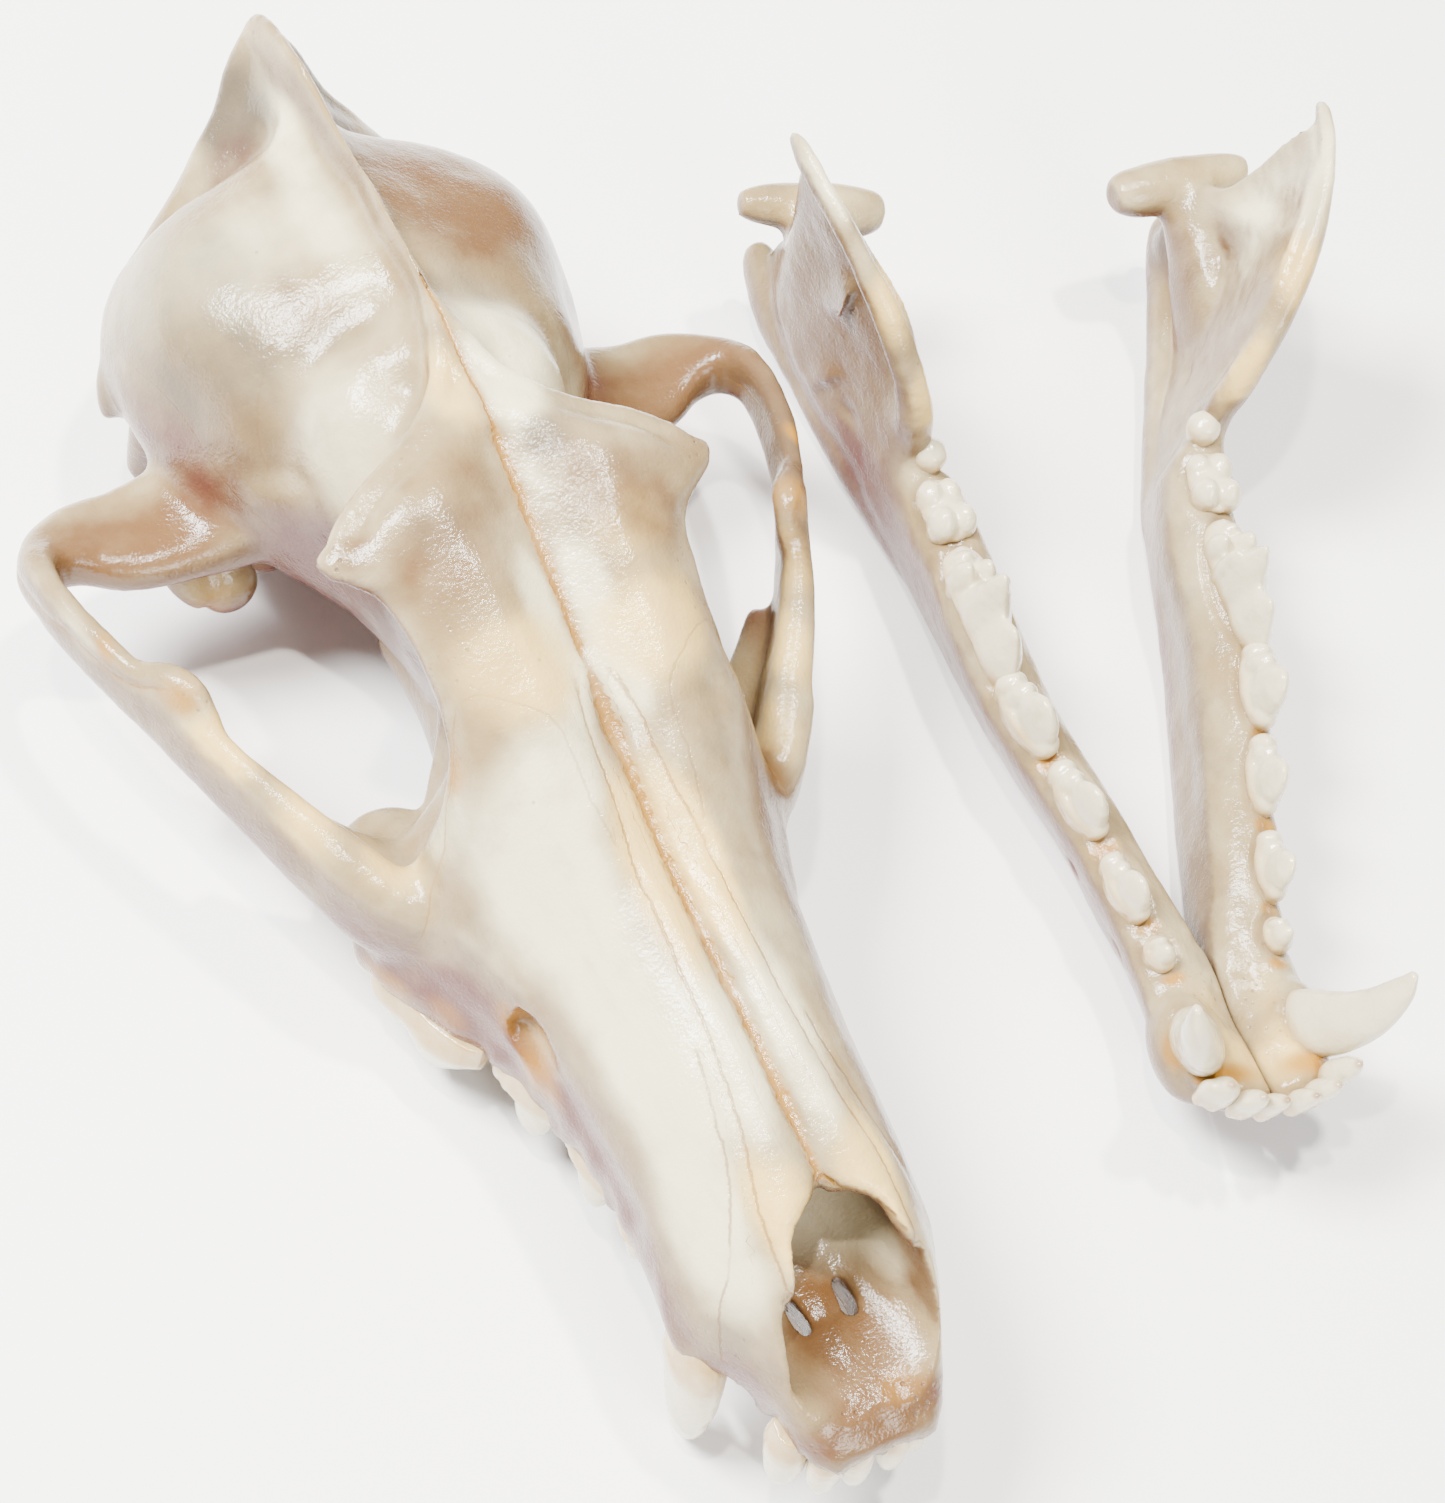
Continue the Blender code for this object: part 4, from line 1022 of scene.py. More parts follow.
@dataclass
class Cranium:
    """The cranium: snout, braincase, cheek arches and base, all one bone."""

    teeth: ToothRow
    pitch: float = math.radians(-6.82)
    # its zero point in millimetres from the middle, the front and the underside of its solid's box
    zero: Row = (0.05, -0.198, 21.63)
    draft_voxel: float = 0.9
    voxel: float = 0.68
    triangles: int = 192000
    # cross-sections: y, then x and z of the half outline from the bottom middle to the top middle
    trunk: tuple = (
        "0: 0 1, 5 1, 7.5 3, 5.5 5.2, 0 5.2",
        "4: 0 1, 8 1, 9.8 4, 8.8 7.6, 5 8.8, 0 8.8",
        "9: 0 1.5, 8.6 1, 10.6 4, 11.2 10, 9.4 15.5, 4 17.5, 0 17.5",
        "15: 0 2.5, 8.6 1, 12.6 1.5, 13.8 5, 13.8 12, 11.6 19, 8.5 23.5, 3.5 25, 0 24.5",
        "21: 0 3, 10 1.5, 14.8 1, 16.6 5, 16 13, 12.6 21, 8.8 25.6, 4 27, 0 26.2",
        "30: 0 3, 10 2, 14.2 0.5, 16.5 5, 16.6 13, 13.8 22, 9.3 27.8, 4 29.8, 0 28.8",
        "42: 0 3, 10 2.5, 14.3 0, 16 5, 17.1 13, 14.8 23, 9.8 30, 4 33, 0 32",
        "54: 0 3, 11 2.5, 15.6 0, 17.2 5, 18.2 13, 15.8 24, 10.3 31.6, 4.5 34.6, 0 33.6",
        "64: 0 3, 13 2.5, 18.2 0, 19.9 5, 20.4 13, 17.3 25, 11.3 33.5, 5 36.6, 0 35.2",
        "73: 0 3, 15 2.5, 22.5 0, 25.5 4.5, 24.2 13, 19.8 26, 13.8 36, 6.5 40.2, 0 38.2",
        "80: 0 3, 17 2.5, 26 0, 29 5, 27 13, 21.8 27, 16.3 38.5, 8 43.3, 0 40.6",
        "86: 0 3, 18 2.5, 27.5 0, 30 5, 26.5 13, 21.5 26, 19 38, 15.2 43.5, 8 46.2, 0 43.2",
        "92: 0 3, 17 2.5, 26.5 0.5, 28 6, 21 11, 15.5 18, 15.5 30, 18.2 40.5, 15.7 46.2, 8.5 48.6, "
        "0 45.5",
        "100: 0 3.5, 10 3, 14 4, 15 8, 12 13, 11.5 22, 13.5 33, 18.4 43.5, 17.6 48, 9.5 51.6, 0 49",
        "108: 0 13, 7 12, 9.5 16, 11.5 26, 14 36, 20 46, 20.2 50.5, 10.5 54.6, 0 52",
        "114: 0 13, 8 12.5, 11 18, 14 30, 18.5 43, 20.5 51, 11 56.2, 0 54.6",
        "120: 0 13, 9 12.5, 12.5 19, 15.2 30, 16.6 42, 14.5 51.5, 7 56.6, 0 56",
        "127: 0 12.5, 10.5 12.5, 15 19, 17 30, 16.6 41, 11.5 50.5, 4.5 56, 0 57",
        "134: 0 12, 12 12.5, 19 18, 21.6 28, 19.6 39, 13 49, 4.5 55, 0 57",
        "142: 0 12, 13 12.5, 23 17, 27.2 27, 24.6 38, 16.6 48.5, 6 55, 0 57",
        "151: 0 12, 14 12.5, 25 16, 30.6 27, 27.2 38, 19 48.4, 7 55, 0 57",
        "160: 0 12, 14.5 12.5, 26 15.5, 31.8 26.5, 29.4 37, 21.6 47, 7.6 54, 0 56.5",
        "169: 0 12, 14 12.5, 26 15, 31.4 25, 29.4 35, 21.8 45.4, 7.4 52.8, 0 56",
        "176: 0 12, 12 13, 22.5 16, 28.6 25, 27 33.5, 20 43, 6.2 51.2, 0 56",
        "182: 0 15, 10 15, 17 18, 22.6 26, 21.4 34, 15.8 41.5, 5.2 49.6, 0 56.5",
        "186: 0 23, 7 21.5, 12.5 25, 16.4 31, 15.4 37.5, 11 43, 4.4 49.6, 0 57",
        "190: 0 36, 6 36, 9.2 40, 7.6 45, 4.8 50, 2.2 54.5, 0 56.5",
        "193: 0 47, 2.4 48, 3.6 51, 2.2 54.4, 0 56",
    )
    crest: str = (
        "0 121 51.5 3 5.5, 0.1 130 52.6 2 6, -0.2 136 54.2 1.5 6, 0.2 143 54.8 1.2 6.3, "
        "-0.2 151 55 1 6.5, 0.3 159 55.1 1 6.6, -0.1 168 55.2 1 6.7, 0.2 176 55.4 1.1 6.8, "
        "-0.2 183 55.2 1.5 6.8, 0 189 54 2 6.3, 0 194 52.5 2.3 5.2"
    )
    limbs: tuple = (
        # crest across the back of the head
        "0 193.4 54 2 3.2, 3.8 191.8 50 1.6 2.6, 6.6 189.4 45 1.5 2.7, 10.6 187 40.2 1.5 3, "
        "14.6 184 35.8 1.5 3.3, 19.8 179.8 30.8 1.6 4, 26 174 27 1.9 4.2, 30 170 23.5 1.8 3, "
        "31 168.6 20 1.5 2.2, 31.2 168 17.5 1 1.4",
        # floor of the orbit
        "22 88 8 6 4, 28 94 10.5 5.6 3.6, 33.2 100 14.5 3.6 3, 37.6 106 18 2.4 2.4",
        # knob on the cheek arch behind the orbit
        "45.6 118.5 28 1.6 3.4, 44 116 30.4 2.3 3.2, 42.4 113.4 31.6 2.3 2.6, 41.2 111.4 30.6 1.7 2.2, "
        "40.6 108.4 27.4 1.6 2.4",
        # spur behind the orbit
        "10 106 48.6 5.5 4, 17 109.5 49.6 4.6 2.8, 21.5 111.2 50 3.2 2, 25 112.2 50.2 1.7 1.4, "
        "26.6 112.6 49.8 0.9 0.9",
        # ridge from the spur back to the crest
        "23.5 113.5 50.8 1.5 1.4, 20.5 116.2 51.4 1.5 1.9, 16 118.8 52.2 1.7 2.4, 11 121.2 53 2 2.8, "
        "6.8 124.4 54 2.1 2.9, 3.6 128.8 55.2 1.9 2.8, 1.2 134.5 56.8 1.6 2.8, 0.2 140 57.6 1.3 2.6",
        # knob behind the jaw joint
        "33 146 18 5.5 4, 30 143 13.5 4.6 3.4, 27.6 141 10.4 3.8 2.8",
        # process beside the neck joint
        "23 168.5 15 4 4.6, 24.5 170.5 8 2.8 3.2, 25 172 -0.9 2 2.2",
        # plate beside the inner nostrils
        "10 99 8 1.9 5.4, 8.2 110 9 1.4 5.4, 7.6 120 9 1.3 5.2, 7.8 128 7 1.3 3.6",
        # swelling over the canine's root
        "14.3 21 3 3.4 3.6, 13.8 27 9 3.6 4, 12.4 33 15 3.4 4, 10.5 38 20 3 3.4",
    )
    arch: str = (
        "21 79 13 4.5 7, 27.5 84 15 4 7.2, 33.2 92.5 18.5 3.2 6.8, 38.4 101.5 22 2.4 6.3, "
        "43.2 111.5 25 1.9 6, 47.3 121 26.4 1.7 5.4, 50 130 26.2 1.7 4.9, 51.2 138 25.2 2 4.5, "
        "49.8 143.4 23 3.2 3.9, 44.2 146 21.4 6 3.4, 37 145.4 20.6 8 3.4, 29 145.4 21 9 4.4, "
        "22 145 22 8.6 5.5"
    )
    # bulla, knob behind the jaw joint, neck joint, swelling behind the last molar
    lumps: str = (
        "16.6 153.5 9.6 7.6 10.5 9, 25 141 10.6 4.4 3.4 4.9, 10.6 180.5 18.4 6.4 6.8 8.4, "
        "20.5 96.5 5.6 7.2 7 3.8"
    )
    # the nose opening seen from above, its floor's height along y, how far the floor rises to the sides
    nose_outline: str = (
        "0 -6, 5 -6, 9.2 -3, 10 2, 9.6 6.5, 9.8 10, 9.8 13, 9.3 15.6, 8.6 16.4, 7.9 15.4, 7.1 17.4, "
        "6.6 20, 5.8 22.4, 3.6 23.8, 1.6 24.7, 0.3 26.8"
    )
    nose_floor: str = "-6 6.4, 0 7, 4 8.1, 8 8.6, 14 8.5, 20 8.3, 30 8.2"
    nose_middle: Row = (0.0, 11.0)
    nose_rise: float = 3.4
    nose_half: float = 9.8
    nose_top: float = 45.0
    # the other openings, as limbs and as lumps
    nasal_cavity: tuple = (
        "0 13 13 7 6, 0 18 15.6 8.6 7.6, 0 23.5 16.6 9.2 9, 0 27 18 8.8 8.4, 0 30 20.5 6 5.4",
        "3.6 13 16 5.9 6.8, 3.8 21 17.2 5.9 7, 3.8 26 17.8 5.7 7.2, 3.8 30 19.2 3.6 4.6",
    )
    palate_slots: str = "2.9 14 5 0.6 7, 3.2 17 5 1 7, 3.7 21.5 5 0.7 7, 4.7 29 5 0.5 7"
    front_notch: Row = (15.6, 13.2, 0.6, 4.6, 4.4, 5.8)
    cheek_canal: str = "22.8 52 13.2 2.8 4.6, 20 59.5 14.6 2.7 4.6, 18.4 64.5 15.2 1.6 3"
    spine_opening: Row = (0.0, 184.0, 24.5, 8.6, 15.0, 7.0)
    ear_opening: Row = (29.5, 155.0, 12.5, 4.5, 3.4, 3.4)
    throat: str = "0 116 8.5 5.4 4.6, 0 104 8.5 5.4 4.6, 0 92 8.8 4.8 3.6, 0 84 9.5 3 2.4"
    # centre and radii of the places where the bodies meet and are smoothed, and of the rough ones
    joints: str = "27 146 26 7 14 8, 14 108 46 5 7 3, 24 86 14 6 8 8, 13 28 14 4 10 8"
    rough: str = "25 111.5 50.5 4 4 3, 0 193 57 4 4 4, 3 4 8 8 4 4"
    seams: tuple = (
        # nasal bone against frontal, upper jaw and premaxilla
        Seam("0.4 91 46, 2 88 45, 3.3 83 42.8, 3.6 76 40.4, 4.3 70 38.6, 4.8 65.5 37, "
             "4.8 59 35.3, 5.1 52 34, 5.3 46.5 33.3, 6 38.5 31.4, 6.9 32 29.7, 8.1 26.8 27.7, "
             "8.5 22.5 26.2, 8.8 17 24.4", 0.3, 0.28),
        # frontal against upper jaw
        Seam("17 91.5 44.6, 14.5 90.5 46.3, 10.7 87.4 46.4, 8.5 85.5 45.9, "
             "7.3 83.4 44.8, 6.9 79.5 43, 6.8 75 41, 5.9 70 38.8", 0.12, 0.12, 0.3),
        # premaxilla against upper jaw
        Seam("7.6 43 31.9, 8.2 38.5 30.5, 8.8 35.5 29.4, 9.3 31.9 28.2, 11 26.6 25.2, "
             "12.8 22.1 21.2, 14 20.2 17, 14.4 17.8 12", 0.18, 0.1),
        # tear bone and cheek bone against upper jaw
        Seam("17.2 91.4 44, 18.2 89.6 41, 18.9 87.4 38.1, 19.5 86.1 35.5, 20.3 85 32, "
             "21.5 82.4 28.4, 23.2 81 23.7, 24.1 79.4 20, 25.5 80.5 14, 27 84 9.5", 0.15, 0.75, 0.4),
        # cheek bone against temple bone, along the arch
        Seam("52.3 140 24.4, 52.3 134 26.2, 51.8 129.5 27.9, 50.6 124.8 28.3, 49 121 28.6, "
             "47.3 117.6 29.6, 45.6 115.6 31", 0.22, 0.45),
        # frontal against parietal
        Seam("1.8 150 58, 6.2 151.2 55.3, 11.5 149.6 52.6, 16.8 147.5 49.7, "
             "20.3 144.2 46, 22.4 139 40, 21.4 133 33, 19 128 27", 0.08, 0.3, 0.16),
        # parietal against temple bone
        Seam("29 169.5 30, 30 163 34.5, 28.8 155.5 36.4, 26.4 148 35, 24 141 31.5, "
             "20.6 134 27.5", 0.1, 0.2, 0.22),
        # middle seam of the forehead and the nose
        Seam("0 140 60, 0 128 57.6, 0 116 55.2, 0 104 50.6, 0 92 45.6, 0 78 40.2, "
             "0 64 35.3, 0 50 33.2, 0 38 31.3, 0 26.5 28", 0.3, 0.5, 1),
        # seams of the palate
        Seam("0 24 3, 0 60 3, 0 98 3.2", 0.15, 0.1),
        Seam("0.5 62 3, 6 63 2.8, 11 69 2.4, 14 80 2.4, 15 92 3", 0.15, 0.1),
    )
    marks: tuple = (
        # furrow between the two swellings of the braincase, and the swellings
        Stroke("6.5 143.4 54.8, 9.7 144 53.3, 13.5 142.6 50.6, 18 140 45.5, 21 136 39", -1.5, 4.2),
        *dabs("12.5 134.5 47 6 6 7 1.2, 22 162 43 10 11 10 1.9"),
        # edge of the forehead and the valley behind it
        Stroke("0.5 139 60, 1.4 134 58.9, 3.4 128 57.2, 7 123.8 56, 11.5 120.8 55, 17 118 54, "
               "21.5 115.5 52.6, 26 112.6 50.4", 0.2, 1.2),
        Stroke("4.5 121 56.6, 9 116.8 55.6, 14 114 54.6, 19 111 52.5", 1.1, 4),
        Stroke("6.4 131 53, 8.6 128 51, 12 125.4 48.5, 16 122.6 45.5, 19.5 119 44", -2.3, 3.6),
        *dabs("17.6 167 48.6 4 4 4 -0.3, 28 150 36 5 8 7 -0.7"),
        # furrow in front of the crest across the back of the head
        Stroke("6.5 181 51.5, 11 181 47, 16 181 42, 20 178.5 36", -2.6, 3),
        # forehead and bridge of the nose
        Stroke("0 119 56, 0 104 50.5, 0 92 45.5, 0 84 42.4", -0.8, 3.2),
        Stroke("0 88 44, 0 78 40.2, 0 66 35.9, 0 50 33, 0 38 31.6, 0 25 28", -0.5, 0.8),
        Stroke("3.4 62 35.8, 3.4 46 33, 4.2 34 30.6, 5.4 22 26.6", 0.6, 2.2),
        *dabs("9 103 52 5 7 5 0.5, 8 118 56 5 4 4 -0.5, 14 84 43 4 6 4 -0.5"),
        # rim of the orbit and the hollow behind it
        Stroke("24.5 110.3 49.7, 21 107 48.6, 19.2 103.5 46.9, 18.5 99 46.2, 18.3 95.8 44.3, "
               "18.6 92.6 42.3, 19.2 89.8 39.5, 20 88 36, 21.6 87.2 32, 25 89 27.5, "
               "30 92.5 26.5", 0.55, 1.5),
        Stroke("17 108 43, 14.5 103 39, 14 98 34, 16.5 93 30", -0.9, 4.5),
        *dabs("17.6 92.6 31 1.3 1.6 1.8 -1.4"),
        # break between face and flank, trough before the nerve's opening, hollow over the sockets
        Stroke("32.5 88 22.5, 27.5 81 21.5, 22.8 73 21.5, 19.6 65.5 21", 0.6, 2.6),
        Stroke("19.6 60 15, 18.4 53 13, 17.6 45 11.5, 17.4 37 10.5", -0.9, 3.4),
        Stroke("28 84 10, 24 74 9.5, 20 64 8", -0.6, 3),
        # swellings over the roots of the cheek teeth
        *dabs(each("15.8 38.6, 16.2 46.4, 16.6 52, 18 58.4, 19.6 65, 22.6 70.5, 28.4 81",
                   "5 2.6 1.9 4.2 0.5")),
        # jaw joint's socket, back of the head, base
        *dabs("38 143.5 15.5 9 3.5 4 -1.6"),
        Stroke("0 193 50, 0 190 42, 0 187 34", 0.7, 1.6),
        *dabs("6.5 187.5 38 4 4 6 -0.9"),
        Stroke("0 178 12.5, 0 160 12, 0 140 12", 0.5, 2),
        *dabs("6 165 12.5 3.5 8 3 -0.7"),
        Stroke("6.5 30 2.6, 8 46 2.6, 9.5 60 2.6", -0.5, 1.5),
        *dabs("10.4 64 2.6 1.2 1.8 2 -1.2"),
        # floor of the nose
        Stroke("0 33 7, 0 22 6.6, 0 12 7.2", 1, 1.5),
    )
    stains: tuple = read_stains(
        # forehead and spurs; the pale along the forehead and the bridge is partly painted highlight
        "tan 14 106 52 7 8 8 0.6, tan 6.5 113 55 5 7 5 0.5, tan 13 92 47.5 5 6 5 0.3",
        "tan 22.5 111.5 51 4 3 4 0.45, ivory 3 127 57 3.5 7 4 0.6 -1, grey 5.2 116.8 56.3 4 3.4 3 0.5 1",
        "grey 7 105 53 5 4 4 0.3 1, grey 12.2 109 54.7 4.5 4.5 4 0.3 -1, pale 4 127 57 4 9 4 0.95 1",
        "pale 3.2 112.6 54.7 3 3 2 0.9 1, ivory 11 104 52 6 5 4 0.5 1, pale 3 99 49.5 3 7 4 0.8",
        "ivory 9 92 47 8 8 5 0.75, pale 3 90 45.5 3 8 5 0.95",
        # nose and face; the pale on the right side is partly painted light where the key falls, and the
        # rose along the lower flanks is painted shade with rosy painted bounce light
        "pale 14 68 33 8 19 10 0.95 -1, pale 11.5 45 28 6 16 7 0.95 -1, pale 13 27 22 4 12 8 0.95 -1",
        "pale 9 80 42 6 8 5 0.7 -1, pale 22 86 31 4 5 6 0.8, ivory 3 68 37 3.6 19 4.5 0.85",
        "pale 3.2 66 37 2 16 4 0.6 1, pale 4 42 32.5 4 15 4 0.8, ivory 5.6 24 27 4 10 4 0.85",
        "tan 1.6 82 42 1.6 9 3 0.4 -1, amber 0 40 31.5 0.5 14 3 1, amber 19.2 87 37 1.4 3 5 0.5",
        "amber 24 80 22 2.4 2.6 4 0.2, rose 29 85 11 6 9 8 0.9, rose 22.5 69 8 6 12 9 0.95",
        "rose 17.6 48 8 4 14 8 0.95, rose 16.6 30 6 3.8 10 7 0.85, rose 13 14 6 3 5 6 0.8",
        "amber 28.8 80 5 3 6 3 0.4, amber 24.6 71.5 7 3 4 3 0.3, amber 19.3 57 10 2.4 5 4 0.5",
        "ivory 19.6 60 14 3.4 6 4 0.8, amber 19 62 15 3 6 4 0.5, grey 14.4 17 13.5 3 3.5 4 0.35",
        # cheek arches; the tan and grey on the left arch are partly painted shade, and the rose under the
        # arch is painted shade with rosy painted bounce light
        "tan 42 142.5 24 12 7 6 0.75, tan 29 142 25 8 7 6 0.65, ivory 26 87 22 5 6 4 0.6",
        "ivory 34 97 24 4 8 5 0.7, ivory 40 107 28 5 6 4 0.8, amber 42.6 113.2 31.4 2.8 3.2 2.6 0.7",
        "tan 51 134 25 3 10 6 0.45, pale 50.8 127 29 2 6 2.4 0.6, amber 48.6 123.4 30.5 1.2 2.4 1.6 0.6",
        "tan 38 104 20 6 14 4 0.5, rose 40 110 18 10 16 4 0.5, tan 47 118 25 10 28 12 0.85 1",
        "grey 47 118 27 10 24 10 0.4 1, amber 28 141 11 4 4 4 0.4, ivory 28 141 11 5 5 5 0.5",
        # orbit and braincase; the pale on the right braincase is partly painted highlight, the grey
        # there, in the orbit and at the back of the head partly painted shade, and the rose painted shade
        # with rosy painted bounce light
        "grey 14 102 36 5 9 11 0.6, rose 13 104 26 6 10 9 0.6, rose 18 128 28 9 9 8 0.95",
        "pale 13 132 45 9 9 11 0.5, pale 5 158 54 4 18 4 0.5 -1, pale 17 160 50 9 11 7 0.5 -1",
        "grey 22 157 42 13 18 14 0.55 -1, tan 13 152 50 3 7 4 0.5 -1, tan 22 140 40 8 6 8 0.35 -1",
        "pale 24 165 42 7 9 8 0.45, pale 4 178 54 3 9 6 0.7 -1, pale 9 134 52 11 11 8 0.5 1",
        "grey 6 187 48 6 8 10 0.8, rose 9 181 47 5 5 7 0.35, pale 10 188 38 4 4 6 0.6 -1",
        "grey 17.6 167 49 2.2 2.2 2.2 0.15 -1, grey 12 178 45 6 5 6 0.35, grey 10 144 53 8 3.5 5 0.35",
        "tan 26 148 38 7 10 7 0.5, rose 27 152 30 8 16 6 0.5, grey 20 148 47 4 5 4 0.3",
        "grey 30 168 26 5 6 7 0.4",
        # painted shade on the left side, turned away from the key light: tan, with rose low on the flanks
        "tan 12 163 52 14 18 10 0.85 1, tan 26 162 38 11 18 14 0.95 1, rose 30 154 32 5 16 9 0.6 1",
        "tan 20 68 26 7 34 14 1 1, tan 15 34 19 5 22 12 1 1, rose 20 66 12 6 34 8 0.5 1",
        "tan 18 96 42 4 12 5 0.5 1",
        # nose floor and the tip; the pale and rose inside the nose are painted light that lifts the shade
        # of the cavity
        "tan 0 14 9 10 11 6 0.75, pale 0 26 14 10 12 10 0.7, rose 0 25 13 9.5 12 9 0.3",
        "amber 0 24 13 9.5 12 9 0.2, ivory 3 16 9 6 7 4 0.35, tan 0 3 6 10 4 5 0.9",
        "amber 4 5 9 4 2.6 3 0.3 1, rose 8 4 5 3.4 3 4 0.5",
        # porous places, palate and base
        "pores 0 4 8 11 4.5 5 0.9, pores 24.5 111.5 50.5 3.5 3 3 0.9, pores 14.5 17 13.8 2.6 3.4 3 1",
        "pores 0 193 57 4 3 4 0.8, pores 16 97 46.5 4 6 4 0.5, pores 42 112 31 2.6 2.6 2.6 0.8",
        "tan 0 60 3 16 60 2 0.35, tan 0 150 12 30 40 6 0.4"
    )

    def placement(self) -> Matrix:
        """The cranium's frame, from the box of its solid."""
        low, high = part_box("cranium")
        corner = Vector(((low[0] + high[0]) / 2, low[1], low[2]))
        return frame_at((self.pitch, 0, 0), corner + Vector(self.zero) * MM)

    def ring(self, station: str) -> np.ndarray:
        """One cross-section of the trunk as evenly spaced points."""
        y, half = station.split(":")
        left = [(x, float(y), z) for x, z in table(half)]
        right = [(-x, y, z) for x, y, z in left[-2:0:-1]]
        return even_ring(np.array(left + right), count=96)

    def body(self) -> bpy.types.Mesh:
        """All its bones as overlapping bodies."""
        bm = bmesh.new()
        add_stations(bm, map(self.ring, self.trunk))
        add_limb(bm, self.crest)
        for side in Side:
            add_limb(bm, self.arch, side, square=3.2)
            for run in self.limbs:
                add_limb(bm, run, side)
            for place in table(self.lumps):
                add_lump(bm, place, side)
        return as_mesh(bm, "body")

    def openings(self) -> list[bpy.types.Mesh]:
        """Bodies to take out of it."""
        nose = bmesh.new()
        half = table(self.nose_outline)
        outline = np.vstack([half, half[-2:0:-1] * (-1, 1)])
        middle = np.array(self.nose_middle)
        rings = []
        for share in (0.08, 0.25, 0.42, 0.58, 0.72, 0.84, 0.93, 1.0):
            points = middle + (outline - middle) * share
            floor = np.interp(points[:, 1], *table(self.nose_floor).T)
            rise = self.nose_rise * (np.abs(points[:, 0]) / self.nose_half) ** 3
            rings.append(np.column_stack([points, floor + rise]))
        rings.append(np.column_stack([outline, np.full(len(outline), self.nose_top)]))
        add_loft(nose, np.array(rings))
        middle_cavity, side_cavity = self.nasal_cavity
        made = [as_mesh(nose, "nose"), limb(middle_cavity, sides=32), limb(self.throat, sides=32),
                lump(self.spine_opening)]
        for side in Side:
            made += [limb(run, side) for run in (side_cavity, self.palate_slots, self.cheek_canal)]
            made += [lump(self.ear_opening, side), lump(self.front_notch, side)]
        return made

    def build(self, finish: bpy.types.Material) -> None:
        """Build, sculpt and dress the cranium in the bone's material."""
        mesh = treated(self.body(), [("REMESH", {"mode": "VOXEL", "voxel_size": self.draft_voxel}),
                                     ("BOOLEAN", {})], self.openings())
        skin = Skin.remeshed(mesh, self.voxel, 5)
        skin.relax(skin.blobs(self.joints) * SMOOTHING, passes=30)
        skin.carve(self.marks)
        skin.roughen("14 0.3, 6 0.14, 2.6 0.06, 1.3 0.03", seed=5)
        skin.roughen("1.4 0.22, 0.8 0.1", seed=12, weight=skin.blobs(self.rough))
        self.teeth.seat(skin)
        skin.sew(self.seams)
        skin = skin.thinned(self.triangles)
        # the thinned skin has lost its values, so both are done again
        self.teeth.seat(skin)
        skin.sew(self.seams, share=0.4)
        skin.find_hollows()
        skin.paint(self.stains)
        skin.finish("cranium_bone", self.placement(), "cranium", "bone", finish)


